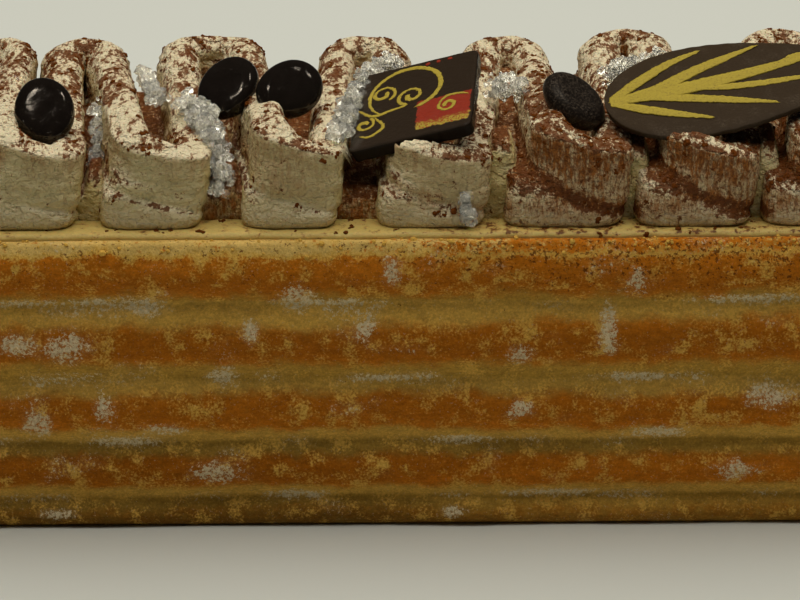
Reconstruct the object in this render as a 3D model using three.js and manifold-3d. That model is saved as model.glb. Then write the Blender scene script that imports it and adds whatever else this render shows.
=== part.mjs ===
// A chocolate tiramisu strip: a long block wrapped in ribbed ladyfinger sponge, a bed of cream
// in its top, one thick ribbon of whipped cream piped to and fro across it, and on the cream
// chocolate drops, a square chocolate plaque, a chocolate leaf and clumps of clear sugar crystals.
// Millimetres, +Z up. The origin is the middle of the flat underside, +X runs along the strip,
// and the side that faces -Y is the front.

import * as THREE from 'three';
import { mergeVertices } from 'three/addons/utils/BufferGeometryUtils.js';
import Module from 'manifold-3d';

const wasm = await Module();
wasm.setup();

// Driving dimensions

const LENGTH = 236; // over the sponge, along X
const WIDTH = 88; // over the sponge, along Y
const CORNER_RADIUS = 15; // of the strip's four upright corners
const GAP = 0.3; // left between pieces that touch

const WALL_TOP = 62.9; // top of the sponge's rim
const VALLEYS = [6.5, 19.0, 32.8, 49.6]; // heights of the grooves between the piped sponge ribs
const RIB_DEPTH = 2.4; // how far a rib stands out from the grooves beside it
const RIB_ROUNDNESS = 1.2; // 1 for ribs of sine shape, more for wider grooves
const WALL_LEAN = 3.0; // how much narrower each side is at the foot than at the top
const FOOT_TUCK = 1.2; // how far the lowest rib curls in under the strip
const FOOT_START = 0.25; // share of its curve at which the lowest rib meets the table
const RIM_INSET = 1.8; // rounding of the top rib on its way to the rim
const RIM_WIDTH = 2.2; // flat cut edge of the sponge sheet
const RECESS_DEPTH = 4.0; // hollow in the top that holds the cream bed
const RIB_STEPS = 5; // rings on each rib
const CORNER_STEPS = 4;
const SIDE_STEPS = [4, 12]; // along the short sides and the long ones
const WAVER = 0.25; // drift of the baked sponge's surface
const WAVES = [[0.07, 0.19, 1], [0.171, -0.3, 0.6]]; // of that drift: along X, up, and its share

const BED_TOP = 64.1;
const BED_EDGE = 1.1; // rounding of the bed's upper edge

const RIBBON_HEIGHT = 16.5; // of the piped ribbon, above the bed
const RIBBON_FOOT = 4.6; // half width of the bead along its foot
const BEAD_HEIGHTS = [0, 2.3, 4.2]; // where the bead starts, is widest and ends
const RIBBON_BLADE = 4.0; // half width of the blade over that bead
const BLADE_HEIGHTS = [8.2, 13.2]; // between which the blade is widest
const CREASE_HEIGHT = 5.7; // of the crease between bead and blade
const CREASE_DEPTH = 0.4;
const SHOULDER_HEIGHT = 15.0; // where the blade rounds over to its crest
const SHOULDER_DEPTH = 0.6;
const RIBBON_FRONT = -37.6; // outermost reach of the front turns
const RIBBON_BACK = 38.2; // outermost reach of the back turns
const RIBBON_END_Y = 24; // where the ribbon starts and stops, across the strip
const RIBBON_SLOPE = 1.1; // how much each front turn sinks from its left side to its right
const RIBBON_LEAN = 1.6; // how far the blade leans to the right over its whole height
const CREASE_SLOPE = 1.8; // how much the crease over the bead sinks in the same way
const ARC_STEPS = 8;
const LEG_SHARES = [0, 0.3, 0.6]; // places along a leg between two turns
const END_SHARES = [0, 0.02, 0.06, 0.5]; // places along the legs that start and end the ribbon
const END_TAPERS = [0.6, 0.88]; // thickness at the first two places from each end

// Each turn of the ribbon: its middle along X, the radius of its centre line and how far its
// crest stands over the usual height.
const FRONT_TURNS = [
  [-99.5, 6.0, 0.5], [-74.4, 6.4, 0.9], [-48.6, 6.0, -0.2], [-20.8, 5.5, 1.2],
  [7.6, 6.7, -0.6], [35.8, 6.1, 1.2], [61.9, 5.7, 0.3], [87.5, 6.0, 0.3],
];
const BACK_TURNS = [
  [-88.0, 5.8, 0.0], [-68.0, 5.2, -0.8], [-40.8, 7.3, 0.2], [-8.3, 6.0, -0.8],
  [22.2, 5.4, -0.8], [47.8, 5.6, 0.8], [82.0, 6.2, 0.6], [102.5, 5.6, 0.0],
];

// A front turn is squarer than a circle: the power of its plan's curve at the foot and at the crest.
const SQUARE_FOOT = 5;
const SQUARE_CREST = 2.5;
const SQUARE_HEIGHTS = [3, 14]; // where the change from one to the other begins and ends

// Cream that fills the ribbon's hollows from below
const HEAP_HALF_WIDTH = 31.5;
const HEAP_ENDS = [-105.5, 105]; // where the heap ends along X
const HEAP_END_SHARE = 0.5; // height left at those ends
const HEAP_EDGE = 1.5; // how far its front and back faces slope
const HEAP_PLACES = [-16, -2, 9, 20]; // across the strip, where a section of the heap has a point
const HEAP_POCKET = 8.5; // height inside the front turns
const HEAP_GAP_LEFT = 6.0; // height between the front turns, on the left half of the strip
const HEAP_GAP_RIGHT = 10.5; // and on the right half
const HEAP_BACK = 14.5; // height inside the back turns
const POCKET_ENDS = [8, 12]; // distance from a front turn's middle over which its pocket ends
const GAP_CHANGE = [5, 22]; // along X, from the left half's height to the right half's
const BACK_RISE = [-2, 20]; // across the strip, on the way up to the back

const DROP_LONG = 14.6; // chocolate drop, long way across
const DROP_SHORT = 12.2;
const DROP_THICK = 5.0;
const DROP_STEPS = 18; // round a drop
// From a drop's face to its back: shares of its half width and of its thickness.
const DROP_PROFILE = [[0, 0], [0.62, 0.02], [0.86, 0.16], [1, 0.45], [0.95, 0.75], [0.72, 0.95], [0, 1]];
const PLAQUE_SIDE = 26.4;
const PLAQUE_THICK = 3.4;
const PLAQUE_CORNER = 1.6;
const LEAF_LENGTH = 60;
const LEAF_HALF_WIDTH = 13.6;
const LEAF_THICK = 1.7;
const LEAF_STEPS = 14; // outline points along each edge of the leaf
const LEAF_BLUNTNESS = 0.62; // less than 1 puts the widest place nearer the base
const LEAF_FULLNESS = 0.8; // less than 1 rounds the edges out
const CRYSTAL_SPACING = 2.3; // between the crystals of a clump
const CRYSTAL_REACH = [0.85, 1.25]; // smallest and largest crystal, in shares of the clump's size
const CRYSTAL_GIRTH = [0.8, 1.1]; // the same for its other two directions
const CRYSTAL_ASIDE = 0.35; // how far a crystal stands off the clump's line

// Where the toppings lie. "at" is the middle of the face that shows, "azimuth" turns that face
// from the front towards +X, "elevation" tips it up from level sight and "spin" turns it in its
// own plane, all in degrees.
const DROPS = [
  { name: 'chocolate_drop_1', at: [-101.0, -14.0, 83.9], azimuth: -20, elevation: 62, spin: 30 },
  { name: 'chocolate_drop_2', at: [-71.4, -24.8, 86.1], azimuth: 4, elevation: 42, spin: 96 },
  { name: 'chocolate_drop_3', at: [-35.6, -8.4, 85.8], azimuth: -16, elevation: 48, spin: 70 },
  { name: 'chocolate_drop_4', at: [-22.0, -13.6, 86.9], azimuth: 12, elevation: 44, spin: 28 },
  { name: 'chocolate_drop_5', at: [36.8, -19.6, 86.4], azimuth: 52, elevation: 50, spin: -74 },
  { name: 'chocolate_drop_6', at: [101.0, -23.5, 84.3], azimuth: -8, elevation: 60, spin: 15 },
];
const PLAQUE = { at: [3.0, -20.6, 85.7], azimuth: -50, elevation: 65, spin: 42.5 };
const LEAF = { at: [41.6, -21.4, 84.8], azimuth: -16, elevation: 66, spin: 21 };

// Clumps of sugar crystals: the line that each follows and the size of its crystals.
const CLUMPS = [
  { name: 'crystal_clump_1', size: 2.6, line: [[-81.5, 0.0, 81.0], [-79.5, 3.5, 81.5]] },
  { name: 'crystal_clump_2', size: 2.6, line: [[-62.0, -6.0, 80.8], [-61.2, -24.5, 71.0]] },
  { name: 'crystal_clump_3', size: 2.7, line: [[-53.4, 11.5, 81.5], [-50.4, -4.0, 80.4]] },
  { name: 'crystal_clump_4', size: 3.9, line: [[-44.0, -10.0, 82.1], [-39.0, -19.0, 80.0], [-36.2, -31.5, 71.5]] },
  { name: 'crystal_clump_5', size: 2.9, line: [[-1.0, 10.5, 84.0], [-6.5, -3.5, 85.0], [-12.6, -29.0, 80.5]] },
  { name: 'crystal_clump_6', size: 3.4, line: [[19.6, -2.0, 82.9], [26.0, -4.0, 82.5]] },
  { name: 'crystal_clump_7', size: 2.7, line: [[43.0, -1.0, 84.4], [54.5, 6.5, 86.8]] },
  { name: 'crystal_clump_8', size: 1.6, line: [[13.2, -37.8, 70.5], [13.8, -38.0, 66.3]] },
  { name: 'crystal_clump_9', size: 2.8, line: [[90.0, -10.0, 81.5], [94.0, 2.0, 81.0]] },
];

const LOOKS = {
  sponge: { color: 0xb98338, roughness: 0.95 },
  bed: { color: 0xe6d3a0, roughness: 0.6 },
  cream: { color: 0xe4dcc4, roughness: 0.7 },
  chocolate: { color: 0x241a17, roughness: 0.25 },
  plaque: { color: 0x2c201f, roughness: 0.4 },
  leaf: { color: 0x3a2a28, roughness: 0.55 },
  crystal: { color: 0xd8d8d2, roughness: 0.12 },
};

// Helpers

const { degToRad: degrees, lerp, smoothstep } = THREE.MathUtils;

/** Random numbers from 0 to 1 that come out the same on every run. */
function seeded(seed) {
  let state = seed;
  return () => {
    state = (state * 1664525 + 1013904223) % 4294967296;
    return state / 4294967296;
  };
}

/** A closed body over rings of points, with each end drawn together in its ring's middle. */
function skin(rings) {
  const count = rings[0].length;
  const middle = (ring) => ring.reduce((sum, p) => sum.add(p), new THREE.Vector3()).divideScalar(count);
  const points = [...rings.flat(), middle(rings[0]), middle(rings.at(-1))];
  const first = rings.length * count;
  const at = (row, i) => row * count + (i % count);
  const faces = [];
  for (let i = 0; i < count; i++) {
    for (let row = 0; row + 1 < rings.length; row++) {
      faces.push(at(row, i), at(row, i + 1), at(row + 1, i + 1));
      faces.push(at(row, i), at(row + 1, i + 1), at(row + 1, i));
    }
    faces.push(first, at(0, i + 1), at(0, i));
    faces.push(first + 1, at(rings.length - 1, i), at(rings.length - 1, i + 1));
  }
  const geometry = new THREE.BufferGeometry().setFromPoints(points);
  geometry.setIndex(faces);
  geometry.computeVertexNormals();
  return geometry;
}

/** The turn and place of a topping's own frame, its face along the frame's Z. */
function placement({ at, azimuth, elevation, spin }) {
  const turn = degrees(azimuth);
  const tip = degrees(elevation);
  const face = new THREE.Vector3(
    Math.sin(turn) * Math.cos(tip), -Math.cos(turn) * Math.cos(tip), Math.sin(tip),
  );
  const level = new THREE.Vector3(Math.cos(turn), Math.sin(turn), 0);
  const frame = new THREE.Matrix4().makeBasis(level, face.clone().cross(level), face);
  return frame.multiply(new THREE.Matrix4().makeRotationZ(degrees(spin))).setPosition(...at);
}

/** A geometry as a solid that can be joined and cut. */
function solid(geometry, matrix = new THREE.Matrix4()) {
  const bare = geometry.clone().applyMatrix4(matrix);
  bare.deleteAttribute('normal');
  bare.deleteAttribute('uv');
  const merged = mergeVertices(bare, 1e-4);
  return new wasm.Manifold(new wasm.Mesh({
    numProp: 3,
    vertProperties: new Float32Array(merged.attributes.position.array),
    triVerts: new Uint32Array(merged.index.array),
  }));
}

/** The largest single body of a solid, as a geometry. */
function body(cut) {
  const pieces = cut.decompose().sort((a, b) => b.volume() - a.volume());
  const { vertProperties, triVerts } = pieces[0].simplify(0.02).getMesh();
  const geometry = new THREE.BufferGeometry();
  geometry.setAttribute('position', new THREE.BufferAttribute(vertProperties, 3));
  geometry.setIndex(new THREE.BufferAttribute(triVerts, 1));
  geometry.computeVertexNormals();
  return geometry;
}

function mesh(name, geometry, look, matrix = new THREE.Matrix4()) {
  const piece = new THREE.Mesh(geometry, new THREE.MeshStandardMaterial({ ...LOOKS[look], metalness: 0 }));
  piece.name = name;
  piece.applyMatrix4(matrix);
  return piece;
}

// The sponge and the bed of cream

/** Points round the strip's plan with their outward directions, long sides in small steps. */
function planOutline() {
  const across = LENGTH / 2 - CORNER_RADIUS;
  const deep = WIDTH / 2 - CORNER_RADIUS;
  const corners = [[across, -deep, -90], [across, deep, 0], [-across, deep, 90], [-across, -deep, 180]];
  const outline = [];
  corners.forEach(([x, y, from], k) => {
    for (let i = 0; i <= CORNER_STEPS; i++) {
      const angle = degrees(from + (90 * i) / CORNER_STEPS);
      const out = new THREE.Vector2(Math.cos(angle), Math.sin(angle));
      outline.push({ point: new THREE.Vector2(x, y).addScaledVector(out, CORNER_RADIUS), out });
    }
    const end = outline.at(-1);
    const [nextX, nextY] = corners[(k + 1) % corners.length];
    const next = new THREE.Vector2(nextX, nextY).addScaledVector(end.out, CORNER_RADIUS);
    for (let i = 1; i < SIDE_STEPS[k % 2]; i++) {
      outline.push({ point: end.point.clone().lerp(next, i / SIDE_STEPS[k % 2]), out: end.out });
    }
  });
  return outline;
}

/** The outline drawn in by some inset at some height, with the slight waver of baked sponge. */
function planRing(inset, z, waver = 0) {
  return planOutline().map(({ point, out }) => {
    const drift = WAVES.reduce((sum, [along, up, share]) => sum + share * Math.sin(point.x * along + z * up), 0);
    const edge = point.clone().addScaledVector(out, waver * drift - inset);
    return new THREE.Vector3(edge.x, edge.y, z);
  });
}

/** Insets and heights up the ribbed wall, from the underside to the rim. */
function wallProfile() {
  const levels = [0, ...VALLEYS, WALL_TOP];
  const profile = [];
  for (let rib = 0; rib + 1 < levels.length; rib++) {
    for (let i = 0; i < RIB_STEPS; i++) {
      const t = i / RIB_STEPS;
      const z = lerp(levels[rib], levels[rib + 1], t);
      const lean = WALL_LEAN * (1 - z / WALL_TOP);
      const curve = rib === 0 ? lerp(FOOT_START, 1, t) : t;
      const bulge = RIB_DEPTH * (1 - Math.sin(Math.PI * curve) ** RIB_ROUNDNESS);
      const tuck = rib === 0 ? FOOT_TUCK * (1 - t) ** 3 : 0;
      profile.push([lean + bulge + tuck, z]);
    }
  }
  return profile;
}

function spongeCase() {
  const inner = RIM_INSET + RIM_WIDTH;
  const rings = wallProfile().map(([inset, z]) => planRing(inset, z, z > 0 ? WAVER : 0));
  rings.push(planRing(RIM_INSET, WALL_TOP), planRing(inner, WALL_TOP), planRing(inner, WALL_TOP - RECESS_DEPTH));
  return skin(rings);
}

function creamBed() {
  const inset = RIM_INSET + RIM_WIDTH + GAP;
  const floor = WALL_TOP - RECESS_DEPTH + GAP;
  return skin([
    planRing(inset, floor),
    planRing(inset, WALL_TOP + GAP),
    planRing(inset - BED_EDGE, WALL_TOP + GAP),
    planRing(inset - BED_EDGE * 0.6, BED_TOP - BED_EDGE * 0.3),
    planRing(inset + BED_EDGE, BED_TOP),
  ]);
}

// The piped ribbon

/** The ribbon's turns in order, from the left, each with its middle seen from above. */
function ribbonTurns() {
  return FRONT_TURNS.flatMap(([frontX, frontRadius, frontLift], k) => {
    const [backX, backRadius, backLift] = BACK_TURNS[k];
    const front = new THREE.Vector2(frontX, RIBBON_FRONT + RIBBON_BLADE + frontRadius);
    const back = new THREE.Vector2(backX, RIBBON_BACK - RIBBON_BLADE - backRadius);
    return [
      { middle: front, radius: frontRadius, lift: frontLift, way: 1 },
      { middle: back, radius: backRadius, lift: backLift, way: -1 },
    ];
  });
}

/** The ribbon's centre line: turns at the front and the back joined by straight legs. */
function ribbonPath(turns) {
  const start = turns[0].middle.x - turns[0].radius;
  const path = new THREE.Path();
  path.moveTo(start, RIBBON_END_Y).lineTo(start, turns[0].middle.y);
  let arrive = Math.PI;
  turns.forEach(({ middle, radius, way }, k) => {
    const next = turns[k + 1];
    let leave = 0;
    if (next) {
      const link = next.middle.clone().sub(middle);
      leave = link.angle() - way * Math.acos((radius + next.radius) / link.length());
    }
    path.absarc(middle.x, middle.y, radius, arrive, leave, way < 0);
    arrive = leave + Math.PI;
  });
  const last = turns.at(-1);
  path.lineTo(last.middle.x + last.radius, -RIBBON_END_Y);
  return path;
}

/**
 * Places along the centre line, close together in the turns and further apart on the legs. The
 * curves are a leg, a turn, a leg and so on. "fall" goes from 1 to -1 across each front turn and
 * back on the leg behind it, and "lift" from one turn's own height to the next one's.
 */
function ribbonStations() {
  const turns = ribbonTurns();
  const stations = [];
  ribbonPath(turns).curves.forEach((curve, k) => {
    const isTurn = k % 2 === 1;
    const turn = turns[(k - 1) / 2];
    const before = turns[k / 2 - 1] ?? turns[0];
    const after = turns[k / 2] ?? turns.at(-1);
    const arc = Array.from({ length: ARC_STEPS }, (_, i) => i / ARC_STEPS);
    const leg = [END_SHARES, ...turns.slice(1).map(() => LEG_SHARES), END_SHARES.map((s) => 1 - s).reverse()];
    for (const share of isTurn ? arc : leg[k / 2]) {
      const lift = isTurn ? turn.lift : lerp(before.lift, after.lift, share);
      const fall = [1, 1 - 2 * share, 2 * share - 1, 1][k % 4];
      const frontTurn = isTurn && turn.way > 0 ? turn : null;
      stations.push({ point: curve.getPoint(share), ahead: curve.getTangent(share), fall, lift, frontTurn });
    }
  });
  return stations;
}

/** One side of the ribbon's section: a bead at the foot, a crease, and the blade over it. */
function ribbonSide(crease, rise) {
  const [start, widest, end] = BEAD_HEIGHTS;
  const [low, high] = BLADE_HEIGHTS;
  return [
    [RIBBON_FOOT - SHOULDER_DEPTH, start],
    [RIBBON_FOOT, widest],
    [RIBBON_FOOT - CREASE_DEPTH / 2, end + crease],
    [RIBBON_BLADE - CREASE_DEPTH, CREASE_HEIGHT + crease],
    [RIBBON_BLADE, low + rise],
    [RIBBON_BLADE, high + rise],
    [RIBBON_BLADE - SHOULDER_DEPTH, SHOULDER_HEIGHT + rise],
  ];
}

/** A place on a front turn, moved out to where the turn's squarer plan has it. */
function squared(edge, z, { middle }) {
  const away = edge.clone().sub(middle);
  if (away.y >= 0) return edge;
  const power = lerp(SQUARE_FOOT, SQUARE_CREST, smoothstep(z, ...SQUARE_HEIGHTS));
  const reach = away.length();
  const shares = Math.abs(away.x / reach) ** power + Math.abs(away.y / reach) ** power;
  return away.multiplyScalar(shares ** (-1 / power)).add(middle);
}

/** The ribbon's section at one station; "grow" adds an even skin, for the room its neighbours keep. */
function ribbonRing({ point, ahead, fall, lift, frontTurn }, taper, grow) {
  const left = new THREE.Vector2(-ahead.y, ahead.x);
  const rise = RIBBON_SLOPE * fall + lift;
  const side = ribbonSide(CREASE_SLOPE * fall, rise).map(([half, z], i) => [half + grow, z - (i ? 0 : grow)]);
  const top = [0, RIBBON_HEIGHT + rise + grow];
  const outline = [...side, top, ...side.reverse().map(([half, z]) => [-half, z])];
  return outline.map(([aside, z]) => {
    const straight = point.clone().addScaledVector(left, aside * taper);
    const edge = frontTurn ? squared(straight, z, frontTurn) : straight;
    const lean = RIBBON_LEAN * (z / RIBBON_HEIGHT - 0.5);
    return new THREE.Vector3(edge.x + lean, edge.y, BED_TOP + GAP + z * taper);
  });
}

function ribbon(grow) {
  const stations = ribbonStations();
  const last = stations.length - 1;
  return skin(stations.map((station, i) => ribbonRing(station, END_TAPERS[Math.min(i, last - i)] ?? 1, grow)));
}

/** Height of the cream between the ribbon's legs, over the bed. */
function heapHeight(x, y) {
  const away = Math.min(...FRONT_TURNS.map(([middle]) => Math.abs(x - middle)));
  const gap = smoothstep(away, ...POCKET_ENDS);
  const low = lerp(HEAP_GAP_LEFT, HEAP_GAP_RIGHT, smoothstep(x, ...GAP_CHANGE));
  const between = lerp(low, HEAP_BACK, smoothstep(y, ...BACK_RISE));
  return lerp(HEAP_POCKET, between, gap);
}

/** The heap of cream between the legs, as sections across the strip. */
function heap(grow) {
  const half = HEAP_HALF_WIDTH + grow;
  const places = [-half + HEAP_EDGE, ...HEAP_PLACES, half - HEAP_EDGE];
  const middles = [...FRONT_TURNS, ...BACK_TURNS].map(([x]) => x).sort((a, b) => a - b);
  const between = middles.slice(1).map((x, k) => (x + middles[k]) / 2);
  const stations = [HEAP_ENDS[0] - grow, ...middles, ...between, HEAP_ENDS[1] + grow].sort((a, b) => a - b);
  const floor = BED_TOP + GAP;
  return skin(stations.map((x, k) => {
    const share = k === 0 || k === stations.length - 1 ? HEAP_END_SHARE : 1;
    const top = places.map((y) => new THREE.Vector3(x, y, floor + grow + share * heapHeight(x, y)));
    const shoulders = [top[0], top.at(-1)].map(({ y, z }) => new THREE.Vector3(x, Math.sign(y) * half, z - HEAP_EDGE));
    const feet = [-half, half].map((y) => new THREE.Vector3(x, y, floor - grow));
    return [feet[0], shoulders[0], ...top, shoulders[1], feet[1]].reverse();
  }));
}

function cream(grow = 0) {
  return solid(ribbon(grow)).add(solid(heap(grow)));
}

// The toppings. Their faces lie at Z = 0 of their own frames and their bodies below.

function chocolateDrop(grow = 0) {
  const radius = 1 + (2 * grow) / DROP_SHORT;
  const thick = DROP_THICK + 2 * grow;
  const profile = DROP_PROFILE.map(([out, up]) => new THREE.Vector2(out * radius, (up - 1) * thick + grow));
  const lathe = new THREE.LatheGeometry(profile, DROP_STEPS);
  return lathe.rotateX(Math.PI / 2).scale(DROP_LONG / 2, DROP_SHORT / 2, 1);
}

function squarePlaque(grow = 0) {
  const half = PLAQUE_SIDE / 2 + grow;
  const core = half - PLAQUE_CORNER;
  const outline = new THREE.Shape();
  [[core, core], [-core, core], [-core, -core], [core, -core]].forEach(([x, y], k) => {
    outline.absarc(x, y, PLAQUE_CORNER, (k * Math.PI) / 2, ((k + 1) * Math.PI) / 2);
  });
  const depth = PLAQUE_THICK + 2 * grow;
  const plate = new THREE.ExtrudeGeometry(outline, { depth, curveSegments: 3, bevelEnabled: false });
  return plate.translate(0, 0, -PLAQUE_THICK - grow);
}

/** Half the leaf's width at a share of its length: a blunt base that narrows to a long point. */
function leafHalfWidth(share) {
  return LEAF_HALF_WIDTH * Math.sin(Math.PI * share ** LEAF_BLUNTNESS) ** LEAF_FULLNESS;
}

function chocolateLeaf(grow = 0) {
  const edge = [];
  for (let i = 0; i <= LEAF_STEPS; i++) {
    const share = (1 - Math.cos((Math.PI * i) / LEAF_STEPS)) / 2;
    edge.push(new THREE.Vector2(share * LEAF_LENGTH, leafHalfWidth(Math.min(share, 1))));
  }
  const lower = edge.slice(1, -1).reverse().map(({ x, y }) => new THREE.Vector2(x, -y));
  const middle = new THREE.Vector2(LEAF_LENGTH / 2, 0);
  const wider = new THREE.Vector2(1 + (2 * grow) / LEAF_LENGTH, 1 + grow / LEAF_HALF_WIDTH);
  const outline = new THREE.Shape([...edge, ...lower].map((p) => p.sub(middle).multiply(wider).add(middle)));
  const depth = LEAF_THICK + 2 * grow;
  const plate = new THREE.ExtrudeGeometry(outline, { depth, bevelEnabled: false });
  return plate.translate(0, 0, -LEAF_THICK - grow);
}

/** Angular crystals strung along a line and grown together, before the cream takes its room. */
function crystalClump({ size, line }, seed) {
  const random = seeded(seed);
  const spine = new THREE.CatmullRomCurve3(line.map((p) => new THREE.Vector3(...p)));
  const count = Math.max(3, Math.ceil(spine.getLength() / CRYSTAL_SPACING));
  let clump;
  for (let i = 0; i <= count; i++) {
    const crystal = new THREE.OctahedronGeometry(size * lerp(...CRYSTAL_REACH, random()));
    crystal.scale(1, lerp(...CRYSTAL_GIRTH, random()), lerp(...CRYSTAL_GIRTH, random()));
    crystal.rotateX(random() * Math.PI).rotateZ(random() * Math.PI);
    const at = spine.getPointAt(i / count);
    const aside = new THREE.Vector3(random() - 0.5, random() - 0.5, random() - 0.5).multiplyScalar(2);
    crystal.translate(...at.addScaledVector(aside, size * CRYSTAL_ASIDE));
    clump = clump ? clump.add(solid(crystal)) : solid(crystal);
  }
  return clump;
}

// The whole strip

const drops = DROPS.map((drop) => ({ name: drop.name, matrix: placement(drop) }));
const plaqueMatrix = placement(PLAQUE);
const leafMatrix = placement(LEAF);

// Room that the whole toppings take from the cream and the crystals.
const toppingRoom = [
  ...drops.map(({ matrix }) => solid(chocolateDrop(GAP), matrix)),
  solid(squarePlaque(GAP), plaqueMatrix),
  solid(chocolateLeaf(GAP), leafMatrix),
].reduce((all, one) => all.add(one));
const creamRoom = cream(GAP);
const bedRoom = solid(creamBed(), new THREE.Matrix4().makeTranslation(0, 0, GAP));

const strip = new THREE.Group();
strip.add(mesh('sponge_case', spongeCase(), 'sponge'));
strip.add(mesh('cream_bed', creamBed(), 'bed'));
strip.add(mesh('piped_ribbon', body(cream().subtract(toppingRoom)), 'cream'));
drops.forEach(({ name, matrix }) => strip.add(mesh(name, chocolateDrop(), 'chocolate', matrix)));
strip.add(mesh('square_plaque', squarePlaque(), 'plaque', plaqueMatrix));
strip.add(mesh('chocolate_leaf', chocolateLeaf(), 'leaf', leafMatrix));
CLUMPS.forEach((clump, k) => {
  const cut = crystalClump(clump, k + 1).subtract(toppingRoom).subtract(creamRoom).subtract(bedRoom);
  strip.add(mesh(clump.name, body(cut), 'crystal'));
});

export default strip;
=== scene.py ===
"""A chocolate tiramisu strip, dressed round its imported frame.

Ribbed sponge, a bed of cream, a ribbon of whipped cream piped to and fro, cocoa, chocolate drops,
a square plaque with gold scrolls, a leaf with gold veins and clumps of clear sugar crystals.
Metres, +Z up, the front faces -Y.
"""

import bmesh
import bpy
import math
import numpy as np
from bpy.props import FloatProperty, FloatVectorProperty, IntProperty, PointerProperty
from bpy.types import NodeSocket, Operator, Panel, PropertyGroup
from mathutils import Matrix, Vector, noise

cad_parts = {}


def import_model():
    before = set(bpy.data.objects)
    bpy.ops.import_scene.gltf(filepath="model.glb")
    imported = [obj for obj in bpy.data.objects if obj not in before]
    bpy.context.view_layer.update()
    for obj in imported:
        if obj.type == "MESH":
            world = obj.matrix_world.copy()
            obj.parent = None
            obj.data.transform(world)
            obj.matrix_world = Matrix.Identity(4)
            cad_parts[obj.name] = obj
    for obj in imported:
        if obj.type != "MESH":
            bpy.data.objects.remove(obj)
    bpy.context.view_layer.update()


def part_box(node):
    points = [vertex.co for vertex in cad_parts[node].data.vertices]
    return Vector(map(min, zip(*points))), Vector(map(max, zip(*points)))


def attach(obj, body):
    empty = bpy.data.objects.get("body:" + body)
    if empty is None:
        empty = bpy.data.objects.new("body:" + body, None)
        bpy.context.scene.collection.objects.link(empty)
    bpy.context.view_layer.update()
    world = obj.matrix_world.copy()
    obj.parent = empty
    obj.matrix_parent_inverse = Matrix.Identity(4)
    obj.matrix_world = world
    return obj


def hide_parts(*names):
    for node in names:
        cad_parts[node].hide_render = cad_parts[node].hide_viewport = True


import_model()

bl_info = {
    "name": "Tiramisu strip",
    "version": (1, 0, 0),
    "blender": (4, 5, 0),
    "location": "View3D > Sidebar > Tiramisu",
    "description": "Dresses a tiramisu strip with sponge, piped cream, cocoa and chocolate",
    "category": "Object",
}

MM = 0.001
BODY = "root"

# Sponge and bed, from the frame where it holds them
SPONGE_LOW, SPONGE_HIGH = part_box("sponge_case")
BED_LOW, BED_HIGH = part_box("cream_bed")
HALF_LENGTH = SPONGE_HIGH.x - 0.35 * MM
HALF_WIDTH = SPONGE_HIGH.y - 0.35 * MM
WALL_TOP = SPONGE_HIGH.z
CORNER_RADIUS = 15 * MM
VALLEYS = [6.5 * MM, 19.0 * MM, 32.8 * MM, 49.6 * MM]
GOLD_RIB = 3
RIB_DEPTH = 2.4 * MM
RIB_ROUNDNESS = 1.2
WALL_LEAN = 3.0 * MM
FOOT_TUCK = 1.2 * MM
FOOT_START = 0.25
RIM_INSET = 1.8 * MM
RIM_WIDTH = 2.2 * MM
RECESS_DEPTH = 3.9 * MM
BED_TOP = BED_HIGH.z
BED_INSET = 3.3 * MM
BED_EDGE = 1.1 * MM

# How much lighter or darker the sponge's colour is made at some heights up the wall, in millimetres: partly
# its bake, partly painted light and shade where the ribs face up or down
BAKE_AND_PAINTED_LIGHT = np.array([
    (0, 0.80), (3, 0.88), (5.5, 1.1), (7, 2.3), (9, 1.6), (12.5, 1.05), (16.5, 0.80), (19, 0.95),
    (21, 1.25), (26, 0.84), (30, 0.75), (33, 0.92), (36, 1.0), (39, 0.73), (43, 0.68), (46, 0.95),
    (49.6, 0.88), (54, 0.76), (58, 0.9), (61, 1.0),
])

# Unevenness: depth, size or a size each way, in millimetres, and a seed
SPONGE_DENTS = [(0.4, (26, 26, 7), 1), (0.16, 2.6, 2), (0.10, 1.3, 3)]
SPONGE_SWAY = (0.5, (34, 34, 60), 5)
RIM_TEARS = (0.5, (2.2, 2.2, 1.0), 4)
RIM_CHIPS = (0.6, 1.7, 6)
BED_WAVES = [(0.35, 9, 21), (0.18, 2.5, 22)]
BED_RIPPLE = (0.2, 4, 23)
HEAP_LUMPS = [(0.9, 7, 37), (0.4, 2.4, 38)]
HEAP_FACE = (0.9, (5, 3, 9), 39)
CREAM_LUMPS = [(0.5, 8, 31), (0.3, 3.6, 32)]

# Patches of icing sugar on the front of the sponge: along the strip, height, half width, half height
SUGAR_SPOTS = np.array([
    (-52, 48.9, 4.2, 2.2), (-61, 49.8, 5.0, 0.9), (-75, 49.6, 6.0, 0.9), (-67, 40.9, 4.5, 3),
    (-77, 41.2, 3.8, 2.2), (-20.5, 51.2, 2.8, 3), (-7, 44.9, 2.2, 2.8), (-36, 33.6, 2.8, 2.2),
    (-60, 27.4, 2, 2.8), (-74, 23.4, 2.8, 2.8), (-57, 19.2, 6.9, 1.2), (-49, 22, 4, 1.5),
    (-38, 12.6, 5.2, 2.2), (42, 42.8, 1.8, 5), (70, 50, 10, 1.1), (53, 20.6, 5, 1.5),
    (68, 12.6, 4.5, 1.8), (75, 29.2, 4.5, 2.5), (48, 32.8, 8.8, 0.9), (-3, 33, 7.5, 0.8),
    (30, 6.8, 10, 0.9), (-22, 7, 6.2, 0.9), (12, 19, 7.5, 0.9), (97, 36.4, 3.2, 3), (-98, 22.4, 3, 4),
    (88, 11.4, 3.8, 1.8), (24, 38.6, 2.5, 1.8), (-14, 49.8, 11.2, 0.8), (-1.5, 57.5, 1.6, 3.2),
    (47.5, 55, 1.6, 3), (24, 26.5, 2.6, 1.6), (10.5, 3.4, 2.4, 1), (-70, 3.2, 3, 1),
    (-30, 44, 1.6, 2.4),
]) * MM

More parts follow.
